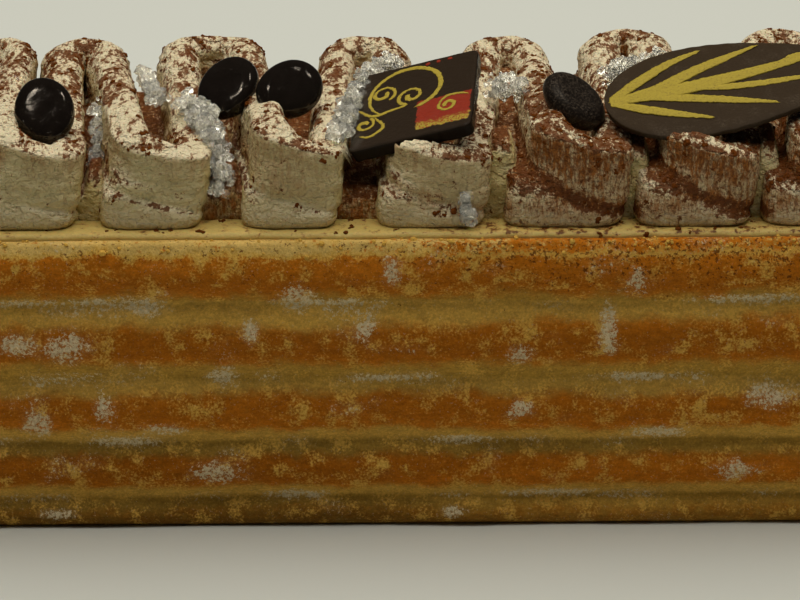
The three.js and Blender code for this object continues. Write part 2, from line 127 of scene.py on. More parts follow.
# Piped ribbon: each turn's middle along the strip, the radius of its centre line and how far its
# crest stands over the usual height
FRONT_TURNS = np.array([
    (-99.5, 6.0, 0.5), (-74.4, 6.4, 0.9), (-48.6, 6.0, -0.2), (-20.8, 5.5, 1.2),
    (7.6, 6.7, -0.6), (35.8, 6.1, 1.2), (61.9, 5.7, 0.3), (87.5, 6.0, 0.3),
]) * MM
BACK_TURNS = np.array([
    (-88.0, 5.8, 0.0), (-68.0, 5.2, -0.8), (-40.8, 7.3, 0.2), (-8.3, 6.0, -0.8),
    (22.2, 5.4, -0.8), (47.8, 5.6, 0.8), (82.0, 6.2, 0.6), (102.5, 5.6, 0.0),
]) * MM
RIBBON_HEIGHT = 16.5 * MM
RIBBON_HALF = 4.0 * MM
RIBBON_FRONT = -37.6 * MM
RIBBON_BACK = 38.2 * MM
RIBBON_END = 24 * MM
RIBBON_TAPER = 3.5 * MM
RIBBON_SLOPE = 2.3 * MM
RIBBON_LEAN = 1.6 * MM
RIBBON_BASE = BED_TOP - 0.1 * MM
BEAD_SHIFT = 0.7 * MM
BEAD_REACH = 3.2 * MM
# The ribbon's section from the foot outside a turn, over the crest, to the foot inside it
FRONT_SECTION = np.array([
    (3.6, 0.0), (4.25, 0.8), (4.5, 2.3), (4.4, 4.0), (4.15, 5.1), (3.7, 5.7), (3.95, 6.2), (4.1, 7.8),
    (4.15, 10.4), (4.2, 13.2), (4.2, 15.0), (4.0, 15.9), (3.5, 16.2), (2.3, 16.6), (0.8, 17.1),
    (-0.7, 17.3), (-2.2, 16.7), (-3.1, 14.8), (-3.5, 12.0), (-3.7, 8.0), (-3.9, 4.0), (-3.9, 0.0),
]) * MM
BACK_SECTION = np.array([
    (3.6, 0.0), (4.4, 1.1), (4.6, 3.0), (4.1, 4.9), (3.4, 5.7), (3.7, 6.6), (4.1, 8.6), (4.0, 11.2),
    (3.6, 13.4), (2.8, 15.0), (1.4, 16.1), (-0.3, 16.5), (-2.0, 16.2), (-3.4, 15.3), (-4.3, 13.8),
    (-4.6, 11.5), (-4.7, 8.0), (-4.7, 4.0), (-4.7, 0.0),
]) * MM
CREASE_HEIGHT = 5.7 * MM
CREASE_SLOPE = 2.8 * MM
CREASE_RISE = 2.4 * MM
HEAP_HALF_WIDTH = 31.5 * MM
HEAP_TOP_SHARE = 0.85
HEAP_POCKET = 8.5 * MM
HEAP_GAP_LEFT = 6.0 * MM
HEAP_GAP_RIGHT = 10.5 * MM
HEAP_BACK = 14.5 * MM
# Torn columns of cream in the gaps: along the strip, half width, height over the heap
TORN_COLUMNS = np.array([
    (20.4, 2.6, 5.5), (48.0, 2.0, 4.5), (74.2, 2.0, 5.5), (-61.5, 1.6, 4.0), (-34.6, 1.5, 3.0),
]) * MM

# Toppings: the middle of the face that shows, and the turns that place it, as in the frame
DROPS = {
    "chocolate_drop_1": ((-101.0, -14.0, 83.9), -20, 62, 30),
    "chocolate_drop_2": ((-71.4, -24.8, 86.1), 4, 42, 96),
    "chocolate_drop_3": ((-35.6, -8.4, 85.8), -16, 48, 70),
    "chocolate_drop_4": ((-22.0, -13.6, 86.9), 12, 44, 28),
    "chocolate_drop_5": ((36.8, -19.6, 86.4), 52, 50, -74),
    "chocolate_drop_6": ((101.0, -23.5, 84.3), -8, 60, 15),
}
MATT_DROP = "chocolate_drop_5"
PLAQUE = ((3.0, -20.6, 85.7), -50, 65, 42.5)
LEAF = ((41.6, -21.4, 84.8), -16, 66, 21)
DROP_LONG = 14.6 * MM
DROP_SHORT = 12.2 * MM
DROP_THICK = 5.0 * MM
PLAQUE_SIDE = 26.4 * MM
PLAQUE_THICK = 3.4 * MM
PLAQUE_CORNER = 1.6 * MM
PLAQUE_RIM = 0.7 * MM
LEAF_LENGTH = 60 * MM
LEAF_HALF_WIDTH = 13.6 * MM
LEAF_THICK = 1.7 * MM
PRINT_THICK = 0.06 * MM
PRINT_LIFT = 0.02 * MM
VEIN_LIFT = -0.06 * MM
PRINT_RAGGED = 0.22 * MM
PLAQUE_CUTS = 33

# Flecks and crumbs
LUMP_LARGEST = 0.8 * MM
CRUMB_SIZE = 0.34 * MM
CRUMB_SPREAD = 0.3 * MM
CRUMB_RISE = 0.4 * MM
CRUMB_ROOM = 1 * MM

# Faces round or along each skin, and across it
BED_FACES = (620, 26)
HEAP_FACES = (420, 110)
DROP_FACES = (64, 36)
LEAF_FACES = (150, 64)
PRINT_SIDES = 8

# A drop's section, from the middle of its face to the middle of its back
DROP_SECTION = [
    (0, 0), (0.5, 0.0), (0.76, -0.05), (0.93, -0.2), (1, -0.46), (0.95, -0.75), (0.72, -0.95), (0, -1),
]

# Gold veins of the leaf, in millimetres on its face: points and widths
VEINS = [
    ([(1.0, 0.3), (7.8, 5.0), (14.5, 9.0), (21.6, 11.6)], (1.8, 2.7, 2.1, 0.7)),
    ([(3.0, 0.5), (11.3, 1.9), (20.2, 5.9), (33.4, 10.4)], (2.0, 3.2, 2.5, 0.6)),
    ([(0.6, 0.2), (10, 0.5), (19.4, 1.0), (32.0, 2.6), (44, 4.4), (54, 2.6)], (2.4, 3.9, 3.7, 2.7, 1.7, 0.4)),
    ([(18, 0.6), (23.3, -0.6), (32, -1.4), (42.5, -1.6), (50, -2.4)], (1.2, 2.0, 1.8, 1.2, 0.4)),
    ([(8, 0.0), (16.9, -2.4), (26.6, -5.4), (34.5, -8.0)], (1.7, 2.5, 2.0, 0.6)),
    ([(1.0, 0.0), (6.6, -3.1), (14.1, -6.6), (21.0, -9.4)], (1.7, 2.6, 2.0, 0.6)),
    ([(34, 2.8), (40, 5.2), (45.0, 6.4)], (1.0, 1.6, 0.5)),
]
# Red dots along the plaque's upper edge
DOTS = [(2.2, 11.4), (4.6, 11.5), (7.0, 11.6)]

# Clumps of crystals: reach round a line, in millimetres, how full they are and the line's points
CLUMPS = {
    "crystal_clump_1": (2.2, 0.7, [(-81.5, 0.0, 81.0), (-79.5, 3.5, 81.5)]),
    "crystal_clump_2": (2.0, 0.5, [(-62.0, -6.0, 80.8), (-61.2, -24.5, 71.0)]),
    "crystal_clump_3": (2.2, 0.6, [(-53.4, 11.5, 81.5), (-50.4, -4.0, 80.4)]),
    "crystal_clump_4": (3.9, 1.0, [(-44.0, -10.0, 82.1), (-39.0, -19.0, 80.0), (-36.2, -31.5, 71.5)]),
    "crystal_clump_5": (2.8, 1.0, [(-1.0, 10.5, 84.0), (-6.5, -3.5, 85.0), (-12.6, -29.0, 80.5)]),
    "crystal_clump_6": (3.2, 0.6, [(19.6, -2.0, 82.9), (26.0, -4.0, 82.5)]),
    "crystal_clump_7": (2.4, 0.7, [(43.0, -1.0, 84.4), (54.5, 6.5, 86.8)]),
    "crystal_clump_8": (1.5, 0.7, [(13.2, -37.8, 70.5), (13.8, -38.0, 66.3)]),
    "crystal_clump_9": (2.8, 1.0, [(90.0, -10.0, 81.5), (94.0, 2.0, 81.0)]),
}
# Corners struck off a crystal: the way they face and how far out they are cut
CRYSTAL_CUTS = [((1, 1, 1), 1.2), ((-1, 1, -0.6), 1.1), ((0.3, -1, 0.9), 1.0), ((-0.4, -0.8, -1), 1.15)]

# Camera, from the photograph's view of the strip
CAMERA_ELEVATION = math.radians(21)
CAMERA_DISTANCE = 750 * MM
CAMERA_AIM = Vector((0, -43 * MM, 50.9 * MM))
CAMERA_ROLL = math.radians(-0.35)
PIXELS_PER_METRE = 5000
PICTURE_WIDTH = 800
SENSOR_WIDTH = 36

# Lights: place, aim and size
KEY_LIGHT = ((0.0, 0.33, 1.0), (0.0, 0.33, 0.0), 1.8)
GLINTS = {"glint_left": (-0.15, -0.25, 0.75), "glint_right": (0.25, -0.10, 0.8)}
GLINT_AIM = (0, 0, 0.08)
GLINT_SIZE = 0.035
LIGHT_TONE = (1.0, 0.99, 0.95)
FLOOR_HALF = 3


# Settings

def colour(name, description, default):
    return FloatVectorProperty(
        name=name, description=description, default=default, subtype="COLOR", size=3, min=0, max=1,
    )


def count(name, description, default, least):
    return IntProperty(name=name, description=description, default=default, min=least)


def amount(name, description, default, unit="NONE"):
    return FloatProperty(name=name, description=description, default=default, unit=unit)


class SpongeSettings(PropertyGroup):
    """Sizes and colours of the ribbed sponge."""

    columns: count("Columns", "Faces round the strip", 740, 60)
    rows: count("Rows", "Faces up the wall", 120, 20)
    crumb: amount("Crumb", "Depth of the sponge's pores", 0.16 * MM, "LENGTH")
    brown: colour("Brown", "Baked crests of the ribs", (0.51, 0.152, 0.007))
    # On the ribs, gold is painted light on the flank that light falls on and olive is painted shade on the
    # flank in shadow, over their own less-baked colour
    gold: colour("Gold", "Lightly baked upper flanks", (0.60, 0.345, 0.062))
    olive: colour("Olive", "Grooves that stayed pale", (0.47, 0.265, 0.042))
    crumb_tone: colour("Crumb colour", "The sponge's pale cut edge", (0.66, 0.43, 0.12))
    sugar: colour("Sugar", "Icing sugar left on the surface", (0.70, 0.58, 0.36))


class CreamSettings(PropertyGroup):
    """Sizes and colours of the piped cream and its bed."""

    stations: count("Stations", "Faces along the ribbon", 1300, 100)
    around: count("Around", "Faces round the ribbon", 72, 12)
    wrinkle: amount("Wrinkle", "Depth of the creases in the piping", 0.42 * MM, "LENGTH")
    # Cream facing up takes the lit colour and its sides the darker ivory: painted shade on the sides
    white: colour("Cream", "Whipped cream that faces up", (0.73, 0.61, 0.385))
    shaded_ivory: colour("Ivory", "Whipped cream on the sides", (0.60, 0.48, 0.232))
    yellow: colour("Yellow", "Cream where it tears", (0.60, 0.46, 0.17))
    bed: colour("Bed", "Cream of the bed", (0.60, 0.425, 0.12))


class CocoaSettings(PropertyGroup):
    """Amount and colour of the cocoa and the crumbs."""

    clumps: count("Clumps", "Clumps of cocoa on the cream", 1900, 0)
    crumbs: count("Crumbs", "Sponge crumbs along the rim", 700, 0)
    clump: amount("Fleck size", "Usual half width of a fleck", 0.28 * MM, "LENGTH")
    brown: colour("Cocoa", "Cocoa in clumps", (0.122, 0.033, 0.0045))
    soaked: colour("Soaked", "Cream that took up the cocoa's colour", (0.33, 0.115, 0.020))


class ToppingSettings(PropertyGroup):
    """Colours of the chocolate, its prints and the crystals."""

    crystal: amount("Crystal size", "Usual half width of a crystal", 0.54 * MM, "LENGTH")
    black: colour("Drops", "Dark chocolate drops", (0.008, 0.0055, 0.0042))
    plaque: colour("Plaque", "Chocolate of the square plaque", (0.027, 0.0165, 0.009))
    leaf: colour("Leaf", "Chocolate of the leaf", (0.037, 0.0225, 0.0105))
    gold: colour("Gold", "Printed scrolls and veins", (0.39, 0.285, 0.035))
    red: colour("Red", "Printed red field", (0.26, 0.026, 0.010))


class StageSettings(PropertyGroup):
    """Floor and light of the stage."""

    floor: colour("Floor", "Pale floor", (0.62, 0.62, 0.545))
    key: amount("Key", "Power of the light overhead", 16.9, "POWER")
    glint: amount("Glint", "Power of each small light that shines in the chocolate", 0.28, "POWER")
    fill: amount("Fill", "Strength of the light all round", 0.04)
    sparkle: amount("Sparkle", "How much brighter the backdrop is through a crystal", 2.3)
    backdrop: colour("Backdrop", "What shows beyond the floor", (0.60, 0.60, 0.52))


class StripSettings(PropertyGroup):
    """All settings of the strip."""

    sponge: PointerProperty(type=SpongeSettings)
    cream: PointerProperty(type=CreamSettings)
    cocoa: PointerProperty(type=CocoaSettings)
    toppings: PointerProperty(type=ToppingSettings)
    stage: PointerProperty(type=StageSettings)


# Shapes

def grain(points, size, seed=0):
    """Smooth unevenness from about -1 to 1, with features of one size or one each way, in millimetres."""
    places = points / (np.asarray(size) * MM) + seed * np.array((13.7, 7.1, 3.3))
    return np.array([noise.noise(place) for place in places.tolist()])


def uneven(points, *parts):
    """Several kinds of unevenness added up, in metres."""
    return sum(depth * MM * grain(points, size, seed) for depth, size, seed in parts)


def ease(value, low, high):
    """0 below one value, 1 above another and a smooth rise between them."""
    share = np.clip((value - low) / (high - low), 0, 1)
    return share * share * (3 - 2 * share)


def rise(value, low, high):
    """The same for a length, between two limits in millimetres."""
    return ease(value, low * MM, high * MM)


def travel(line):
    """How far along a line each of its points lies."""
    return np.concatenate([[0], np.cumsum(np.linalg.norm(np.diff(line, axis=0), axis=1))])


def evenly(line, number, width=None):
    """A line of points resampled evenly, along its first few columns or all of them."""
    far = travel(line[:, :width])
    wanted = np.linspace(0, far[-1], number)
    return np.stack([np.interp(wanted, far, column) for column in line.T], axis=1)


def along(line, share):
    """The columns of an evenly spaced line at shares of its length."""
    steps = np.linspace(0, 1, len(line))
    return [np.interp(share, steps, column) for column in line.T]


def smooth_line(points, number):
    """Evenly spaced points on a smooth curve through a few given ones."""
    given = np.array(points, float)
    ring = np.vstack([2 * given[:1] - given[1:2], given, 2 * given[-1:] - given[-2:-1]])
    shares = np.linspace(0, 1, 24, endpoint=False)[:, None]
    s2, s3 = shares ** 2, shares ** 3
    fine = []
    for before, start, end, after in zip(ring, ring[1:], ring[2:], ring[3:]):
        turn_in, turn_out = (end - before) / 2, (after - start) / 2
        fine.append(
            (2 * s3 - 3 * s2 + 1) * start + (s3 - 2 * s2 + shares) * turn_in
            + (3 * s2 - 2 * s3) * end + (s3 - s2) * turn_out
        )
    return evenly(np.vstack([*fine, given[-1:]]), number)


def made(name, sheet):
    """A mesh of a finished bmesh."""
    mesh = bpy.data.meshes.new(name)
    sheet.to_mesh(mesh)
    sheet.free()
    return mesh


def net(name, across, up, shape, fill=False):
    """A piece made from a grid that a function of two shares bends into a closed skin."""
    sheet = bmesh.new()
    sheet.loops.layers.uv.new("Flow")
    bmesh.ops.create_grid(sheet, x_segments=across, y_segments=up, size=0.5, calc_uvs=True)
    mesh = made(name, sheet)
    shares = np.round(places_of(mesh) + 0.5, 6)
    put(mesh, shape(shares[:, 0], shares[:, 1]))
    return close(mesh, fill)


def close(mesh, fill=False):
    """Welds a mesh's seams and poles, fills its open ends if asked and turns its faces outwards."""
    skin = bmesh.new()
    skin.from_mesh(mesh)
    bmesh.ops.remove_doubles(skin, verts=skin.verts, dist=1e-6)
    if fill:
        bmesh.ops.holes_fill(skin, edges=[e for e in skin.edges if e.is_boundary], sides=0)
    bmesh.ops.recalc_face_normals(skin, faces=skin.faces)
    skin.to_mesh(mesh)
    skin.free()
    mesh.shade_smooth()
    return mesh


def cut(sheet, at, normal, near, clear=False):
    """Cuts all of a bmesh along a plane, and clears what lies beyond it if asked."""
    geom = [*sheet.verts, *sheet.edges, *sheet.faces]
    bmesh.ops.bisect_plane(
        sheet, geom=geom, dist=near, plane_co=at, plane_no=normal, clear_outer=clear,
    )


def read(items, key, width=3):
    """One property of all vertices or faces, as rows."""
    values = np.empty(len(items) * width, np.float32)
    items.foreach_get(key, values)
    return values.reshape(-1, width).astype(float) if width > 1 else values.astype(float)


def places_of(mesh):
    return read(mesh.vertices, "co")


def facing(mesh):
    return read(mesh.vertex_normals, "vector")


def put(mesh, places):
    """Moves every vertex to its own place."""
    mesh.vertices.foreach_set("co", places.astype(np.float32).ravel())
    mesh.update()


def record(mesh, name, values, kind="FLOAT", key="value"):
    """Keeps a value for each vertex, for the piece's material to read."""
    mesh.attributes.new(name, kind, "POINT").data.foreach_set(key, values.astype(np.float32).ravel())


def show(name, mesh, finish, slot, *nodes):
    """Puts a finished mesh in the scene, on the strip's body, in place of the nodes it stands for."""
    piece = bpy.data.objects.new(name, mesh)
    bpy.context.scene.collection.objects.link(piece)
    mesh.materials.append(finish)
    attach(piece, BODY)
    if nodes:
        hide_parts(*nodes)


def placement(at, azimuth, elevation, spin):
    """The frame of a topping, whose face looks along the frame's Z."""
    turn, tip = math.radians(azimuth), math.radians(elevation)
    face = Vector((math.sin(turn) * math.cos(tip), -math.cos(turn) * math.cos(tip), math.sin(tip)))
    level = Vector((math.cos(turn), math.sin(turn), 0))
    basis = Matrix((level, face.cross(level), face)).transposed().to_4x4()
    return Matrix.Translation(Vector(at) * MM) @ basis @ Matrix.Rotation(math.radians(spin), 4, "Z")


def moved(points, matrix):
    """Points of a topping's own frame, where the topping lies."""
    m = np.array(matrix)
    return points @ m[:3, :3].T + m[:3, 3]


def joined(name, meshes):
    """Several meshes as one."""
    whole = bmesh.new()
    for mesh in meshes:
        whole.from_mesh(mesh)
        bpy.data.meshes.remove(mesh)
    return made(name, whole)


def scatter(name, template, places, turns, sizes):
    """Copies of a small shape joined in one mesh; each has its place, its turn and its three sizes."""
    shape = places_of(template)
    corners = np.array([list(p.vertices) for p in template.polygons])
    spread = np.einsum("nij,nkj->nki", turns, shape[None] * sizes[:, None, :]) + places[:, None, :]
    firsts = np.arange(len(places)) * len(shape)
    faces = (corners[None] + firsts[:, None, None]).reshape(-1, corners.shape[1])
    mesh = bpy.data.meshes.new(name)
    mesh.from_pydata(spread.reshape(-1, 3), [], faces)
    bpy.data.meshes.remove(template)
    return mesh


def lump():
    """A small round template for flecks and crumbs."""
    ball = bmesh.new()
    bmesh.ops.create_icosphere(ball, subdivisions=1, radius=1)
    return made("lump", ball)


def lump_sizes(random, usual, number, least):
    """Three sizes for each of some lumps, most of them near the usual one."""
    sizes = usual * np.exp(random.normal(scale=0.4, size=(number, 1)))
    return np.minimum(sizes, LUMP_LARGEST) * random.uniform(least, 1.2, size=(number, 3))


def random_turns(random, number):
    """Rotation matrices that point every way alike."""
    q = random.normal(size=(number, 4))
    w, x, y, z = (q / np.linalg.norm(q, axis=1, keepdims=True)).T
    return np.stack([
        np.stack([1 - 2 * (y * y + z * z), 2 * (x * y - w * z), 2 * (x * z + w * y)], axis=1),
        np.stack([2 * (x * y + w * z), 1 - 2 * (x * x + z * z), 2 * (y * z - w * x)], axis=1),
        np.stack([2 * (x * z - w * y), 2 * (y * z + w * x), 1 - 2 * (x * x + y * y)], axis=1),
    ], axis=1)


# Finishes

class Nodes:
    """A node tree and short calls that add to it."""

    def __init__(self, tree):
        self.tree = tree

    def feed(self, socket, value):
        if isinstance(value, NodeSocket):
            self.tree.links.new(value, socket)
        else:
            is_colour = socket.type == "RGBA" and len(value) == 3
            socket.default_value = (*value, 1) if is_colour else value

    def node(self, kind, inputs=(), **settings):
        node = self.tree.nodes.new(kind)
        for key, value in settings.items():
            setattr(node, key, value)
        for socket, value in dict(inputs).items():
            self.feed(node.inputs[socket], value)
        return node

    def add(self, kind, inputs=(), **settings):
        """A new node's first output."""
        return self.node(kind, inputs, **settings).outputs[0]


class Finish(Nodes):
    """A material in the making: its shader and short calls for the nodes that feed it."""

    def __init__(self, name, **sockets):
        self.material = bpy.data.materials.new(name)
        self.material.use_nodes = True
        super().__init__(self.material.node_tree)
        self.place = self.node("ShaderNodeTexCoord").outputs["Object"]
        self.done(**sockets)

    def read(self, attribute):
        """A value that the piece keeps for each vertex."""
        return self.node("ShaderNodeAttribute", attribute_name=attribute).outputs["Fac"]

    def noise(self, size, detail=2.0, roughness=0.5, stretch=(1, 1, 1), place=None):
        """Cloudy values round 0.5 with features of about one size, in millimetres."""
        source = self.place if place is None else place
        scale = [share / (size * MM) for share in stretch]
        mapping = self.add("ShaderNodeMapping", {"Vector": source, "Scale": scale})
        inputs = {"Vector": mapping, "Scale": 1.0, "Detail": detail, "Roughness": roughness}
        return self.add("ShaderNodeTexNoise", inputs)

    def step(self, value, low, high):
        """0 below one value, 1 above another and a smooth rise between them."""
        inputs = {"Value": value, "From Min": low, "From Max": high}
        return self.add("ShaderNodeMapRange", inputs, interpolation_type="SMOOTHSTEP")

    def spread(self, value, least, most, low=0.0, high=1.0):
        """Values between two limits, as another goes from low to high."""
        inputs = {"Value": value, "From Min": low, "From Max": high, "To Min": least, "To Max": most}
        return self.add("ShaderNodeMapRange", inputs)

    def fold(self, operation, values):
        total = values[0]
        for value in values[1:]:
            total = self.add("ShaderNodeMath", {0: total, 1: value}, operation=operation)
        return total

    def sum(self, *values):
        return self.fold("ADD", values)

    def product(self, *values):
        return self.fold("MULTIPLY", values)

    def swing(self, value, reach):
        """Cloudy values round 0, of about one reach."""
        return self.product(self.sum(value, -0.5), reach)

    def mix(self, share, first, second):
        """One colour turning into another."""
        return self.node("ShaderNodeMix", {0: share, 6: first, 7: second}, data_type="RGBA").outputs[2]

    def lay(self, base, tone, *shares):
        """A colour with another over it, as dense as the product of some shares."""
        return self.mix(self.product(*shares), base, tone)

    def shade(self, value, dark, light, tone):
        """A colour made darker and lighter by cloudy values."""
        scale = self.spread(value, dark, light)
        return self.add("ShaderNodeVectorMath", {0: tone, "Scale": scale}, operation="SCALE")

    def bump(self, height, depth, under=None):
        """A relief of some depth, over another relief if there is one."""
        inputs = {"Height": height, "Distance": depth, "Strength": 1.0}
        if under is not None:
            inputs["Normal"] = under
        return self.add("ShaderNodeBump", inputs)

    def done(self, **sockets):
        for socket, value in sockets.items():
            self.feed(self.tree.nodes["Principled BSDF"].inputs[socket.replace("_", " ")], value)
        return self.material


# Sponge

def plan_line():
    """The strip's plan as a fine line: place and direction outwards, as an angle."""
    wide, deep = HALF_LENGTH - CORNER_RADIUS, HALF_WIDTH - CORNER_RADIUS
    line = []
    for x, y, start in ((wide, -deep, -90), (wide, deep, 0), (-wide, deep, 90), (-wide, -deep, 180)):
        for angle in np.radians(np.linspace(start, start + 90, 24)):
            line.append((x + CORNER_RADIUS * math.cos(angle), y + CORNER_RADIUS * math.sin(angle), angle))
    first = line[0]
    return np.array([*line, (first[0], first[1], first[2] + 2 * math.pi)])


def plan_places(share):
    """Places and outward directions at shares of the way round the plan."""
    line = plan_line()
    far = travel(line[:, :2])
    x, y, angle = (np.interp(share, far / far[-1], column) for column in line.T)
    return x, y, np.cos(angle), np.sin(angle)


def wall_line():
    """Insets and heights up the ribbed wall, over the rim and down into the recess, as a fine line."""
    levels = [0, *VALLEYS, WALL_TOP]
    line = []
    for rib, (low, high) in enumerate(zip(levels, levels[1:])):
        for t in np.linspace(0, 1, 60, endpoint=False):
            z = low + (high - low) * t
            lean = WALL_LEAN * (1 - z / WALL_TOP)
            curve = FOOT_START + (1 - FOOT_START) * t if rib == 0 else t
            bulge = RIB_DEPTH * (1 - math.sin(math.pi * curve) ** RIB_ROUNDNESS)
            if rib == len(VALLEYS) and t > 0.5:
                bulge = RIM_INSET * (2 * t - 1) ** 2.2
            tuck = FOOT_TUCK * (1 - t) ** 3 if rib == 0 else 0
            line.append((lean + bulge + tuck, z))
    inner = RIM_INSET + RIM_WIDTH
    line += [(RIM_INSET, WALL_TOP), (inner, WALL_TOP), (inner, WALL_TOP - RECESS_DEPTH)]
    return np.array(line)


def sponge_mesh(settings):
    profile = evenly(wall_line(), 400)

    def shape(u, v):
        x, y, out_x, out_y = plan_places(u)
        inset, z = along(profile, v)
        flat = np.stack([x, y, z], axis=1)
        settle = rise(z, 0, 3)
        waver = 0.25 * MM * (np.sin(70 * x + 190 * z) + 0.6 * np.sin(171 * x - 300 * z))
        rim = rise(z - WALL_TOP, -3, 0) * rise(inset, 4.5, 0)
        drift = settle * (waver + uneven(flat, *SPONGE_DENTS)) + rim * uneven(flat, RIM_TEARS) - inset
        sway = settle * uneven(flat, SPONGE_SWAY) * rise(WALL_TOP - z, 0, 6)
        lift = sway - np.abs(rim * uneven(flat, RIM_CHIPS))
        moved_out = np.stack([x + out_x * drift, y + out_y * drift, z + lift], axis=1)
        return np.clip(moved_out, SPONGE_LOW, SPONGE_HIGH)

    mesh = net("sponge", settings.columns, settings.rows, shape, fill=True)
    places = places_of(mesh)
    x, _, level = places.T
    z = level - uneven(places, SPONGE_SWAY)
    levels = np.array([0, *VALLEYS, WALL_TOP])
    rib = np.clip(np.searchsorted(levels, z, side="right") - 1, 0, len(VALLEYS))
    share = np.clip((z - levels[rib]) / (levels[rib + 1] - levels[rib]), 0, 1)
    share = np.where(rib == len(VALLEYS), 0.15 + 0.57 * share, share)
    share = np.where(rib == 0, FOOT_START + (1 - FOOT_START) * share, share)
    right = rise(x, -20, 40)
    share = np.where(rib == GOLD_RIB, share + 0.09 * ease(share, 0.35, 0.6) * (1 - right), share)
    drifted = share + 0.08 * grain(places, 9, 14) + 0.05 * grain(places, 3, 15)
    # Painted light on the ribs: gold where light falls on a flank, from above on the upper ribs and from the
    # floor on the lower ones; olive where the flank is in shade
    upper = rise(level, 20, 30)
    # Tone: painted light and shade by height, and the colour made darker towards the foot and on the lower
    # left
    darker = 1.1 - 0.42 * rise(z, 45, -5) + 0.18 * (2 * right - 1) * rise(z, 25, 8)
    for name, values in {
        "baked": ease(drifted, 0.1, 0.34) * ease(drifted, 0.92, 0.64) * (1 - 0.55 * rise(level, 8, 5.5)),
        "lit_flank": upper * ease(drifted, 0.4, 0.8) + (1 - upper) * ease(drifted, 0.45, 0.1),
        "tone": np.interp(z / MM, *BAKE_AND_PAINTED_LIGHT.T) * darker,
        "cut": rise(level - WALL_TOP, -3.8, -0.9),
        "bloom": sugar_cover(places, share),
        "dust": rise(level, 44, 62) * (0.55 + 0.45 * right),
        "right": right,
    }.items():
        record(mesh, name, values)
    return mesh


def sugar_cover(places, share):
    """How much icing sugar lies on the sponge: named patches in front, chance ones all round."""
    x, y, z = places.T
    wobble = 0.5 * grain(places, 3, 11)
    cover = np.zeros(len(x))
    for spot_x, spot_z, wide, high in SUGAR_SPOTS:
        away = np.hypot((x - spot_x) / wide, (z - spot_z) / high) + wobble
        cover = np.maximum(cover, ease(away, 1.7, 0.3))
    front = rise(-y - HALF_WIDTH, -10, -6)
    elsewhere = ease(grain(places, (9, 9, 5), 12), 0.28, 0.6) * (1 - 0.75 * front)
    groove = ease(np.minimum(share, 1 - share), 0.16, 0.02) * ease(grain(places, 11, 13), -0.1, 0.5)
    return np.max([cover * front, elsewhere, 0.6 * groove], axis=0)


def sponge_finish(settings, cocoa):
    f = Finish("sponge", Roughness=0.92, Specular_IOR_Level=0.12)
    fine, cloud = f.noise(0.5, 4, 0.7), f.noise(4, 3)
    fibres = f.noise(1.0, 4, 0.7, (0.4, 0.4, 1))
    patchy = f.sum(f.swing(cloud, 0.5), f.swing(f.noise(1.3, 4, 0.7, (0.7, 0.7, 1)), 0.8))
    baked = f.step(f.sum(f.read("baked"), patchy), 0.0, 1.0)
    # Gold on the lit flank and olive on the shaded one: painted light and shade over the baked brown
    base = f.mix(baked, f.mix(f.read("lit_flank"), settings.olive, settings.gold), settings.brown)
    # The tone scales the colour: partly the bake, partly painted light and shade by height
    base = f.shade(fibres, 0.45, 1.55, f.shade(fine, 0.35, 1.65, f.shade(f.read("tone"), 0.0, 1.0, base)))
    rim = f.sum(f.read("cut"), f.swing(fine, 1.3), f.swing(cloud, 2.0))
    base = f.lay(base, f.shade(fine, 0.6, 1.6, settings.gold), f.step(rim, 0.0, 0.5))
    flaws = f.step(f.sum(f.noise(1.5, 5, 0.75), f.product(f.read("right"), 0.2)), 0.56, 0.66)
    crumb = f.mix(flaws, settings.crumb_tone, settings.brown)
    base = f.lay(base, f.shade(fine, 0.5, 1.5, crumb), f.step(rim, 0.4, 1.0))
    base = f.lay(base, settings.sugar, f.step(f.noise(0.6, 3, 0.75), 0.62, 0.68), 0.3)
    bloom = f.read("bloom")
    base = f.lay(base, settings.sugar, bloom, f.step(cloud, 0.3, 0.6), 0.15)
    specks = f.step(f.sum(f.noise(0.8, 5, 0.8), f.product(bloom, 0.17)), 0.61, 0.66)
    sugar = f.shade(f.noise(0.6, 3, 0.7), 0.3, 1.7, settings.sugar)
    base = f.lay(base, sugar, specks, f.step(bloom, 0.0, 0.3), 0.9)
    dots = f.step(f.sum(f.noise(0.9, 4, 0.7), f.product(f.read("dust"), 0.15)), 0.69, 0.72)
    base = f.lay(base, cocoa.brown, dots, 0.85)
    relief = f.bump(fine, settings.crumb, f.bump(f.noise(1.6, 3), 2 * settings.crumb))
    return f.done(Base_Color=base, Normal=relief)


# Cream bed

def bed_mesh():
    foot, crown = 0.08, 0.3

    def shape(u, v):
        x, y, out_x, out_y = plan_places(u)
        under = v < foot
        angle = np.clip((v - foot) / crown, 0, 1) * math.pi / 2
        seam = WALL_TOP + 0.1 * MM
        inward = np.clip((v - foot - crown) / (1 - foot - crown), 0, 1) * 10.5 * MM
        top_inset = BED_INSET + BED_EDGE - BED_EDGE * np.cos(angle) + inward
        inset = np.where(under, RIM_INSET + RIM_WIDTH + 0.1 * MM, top_inset)
        z = np.where(under, BED_LOW.z, seam + (BED_TOP - seam) * np.sin(angle))
        flat = np.stack([x, y, z], axis=1)
        inset = inset + ~under * uneven(flat, *BED_WAVES)
        z = z + ~under * uneven(flat + inward[:, None], BED_RIPPLE)
        return np.stack([x - out_x * inset, y - out_y * inset, np.minimum(z, BED_TOP + 0.3 * MM)], axis=1)

    mesh = net("cream_bed", *BED_FACES, shape, fill=True)
    up = ease(facing(mesh)[:, 2], 0.2, 0.8)
    record(mesh, "dust", up * (0.35 + 0.65 * rise(places_of(mesh)[:, 0], -5, 20)))
    return mesh


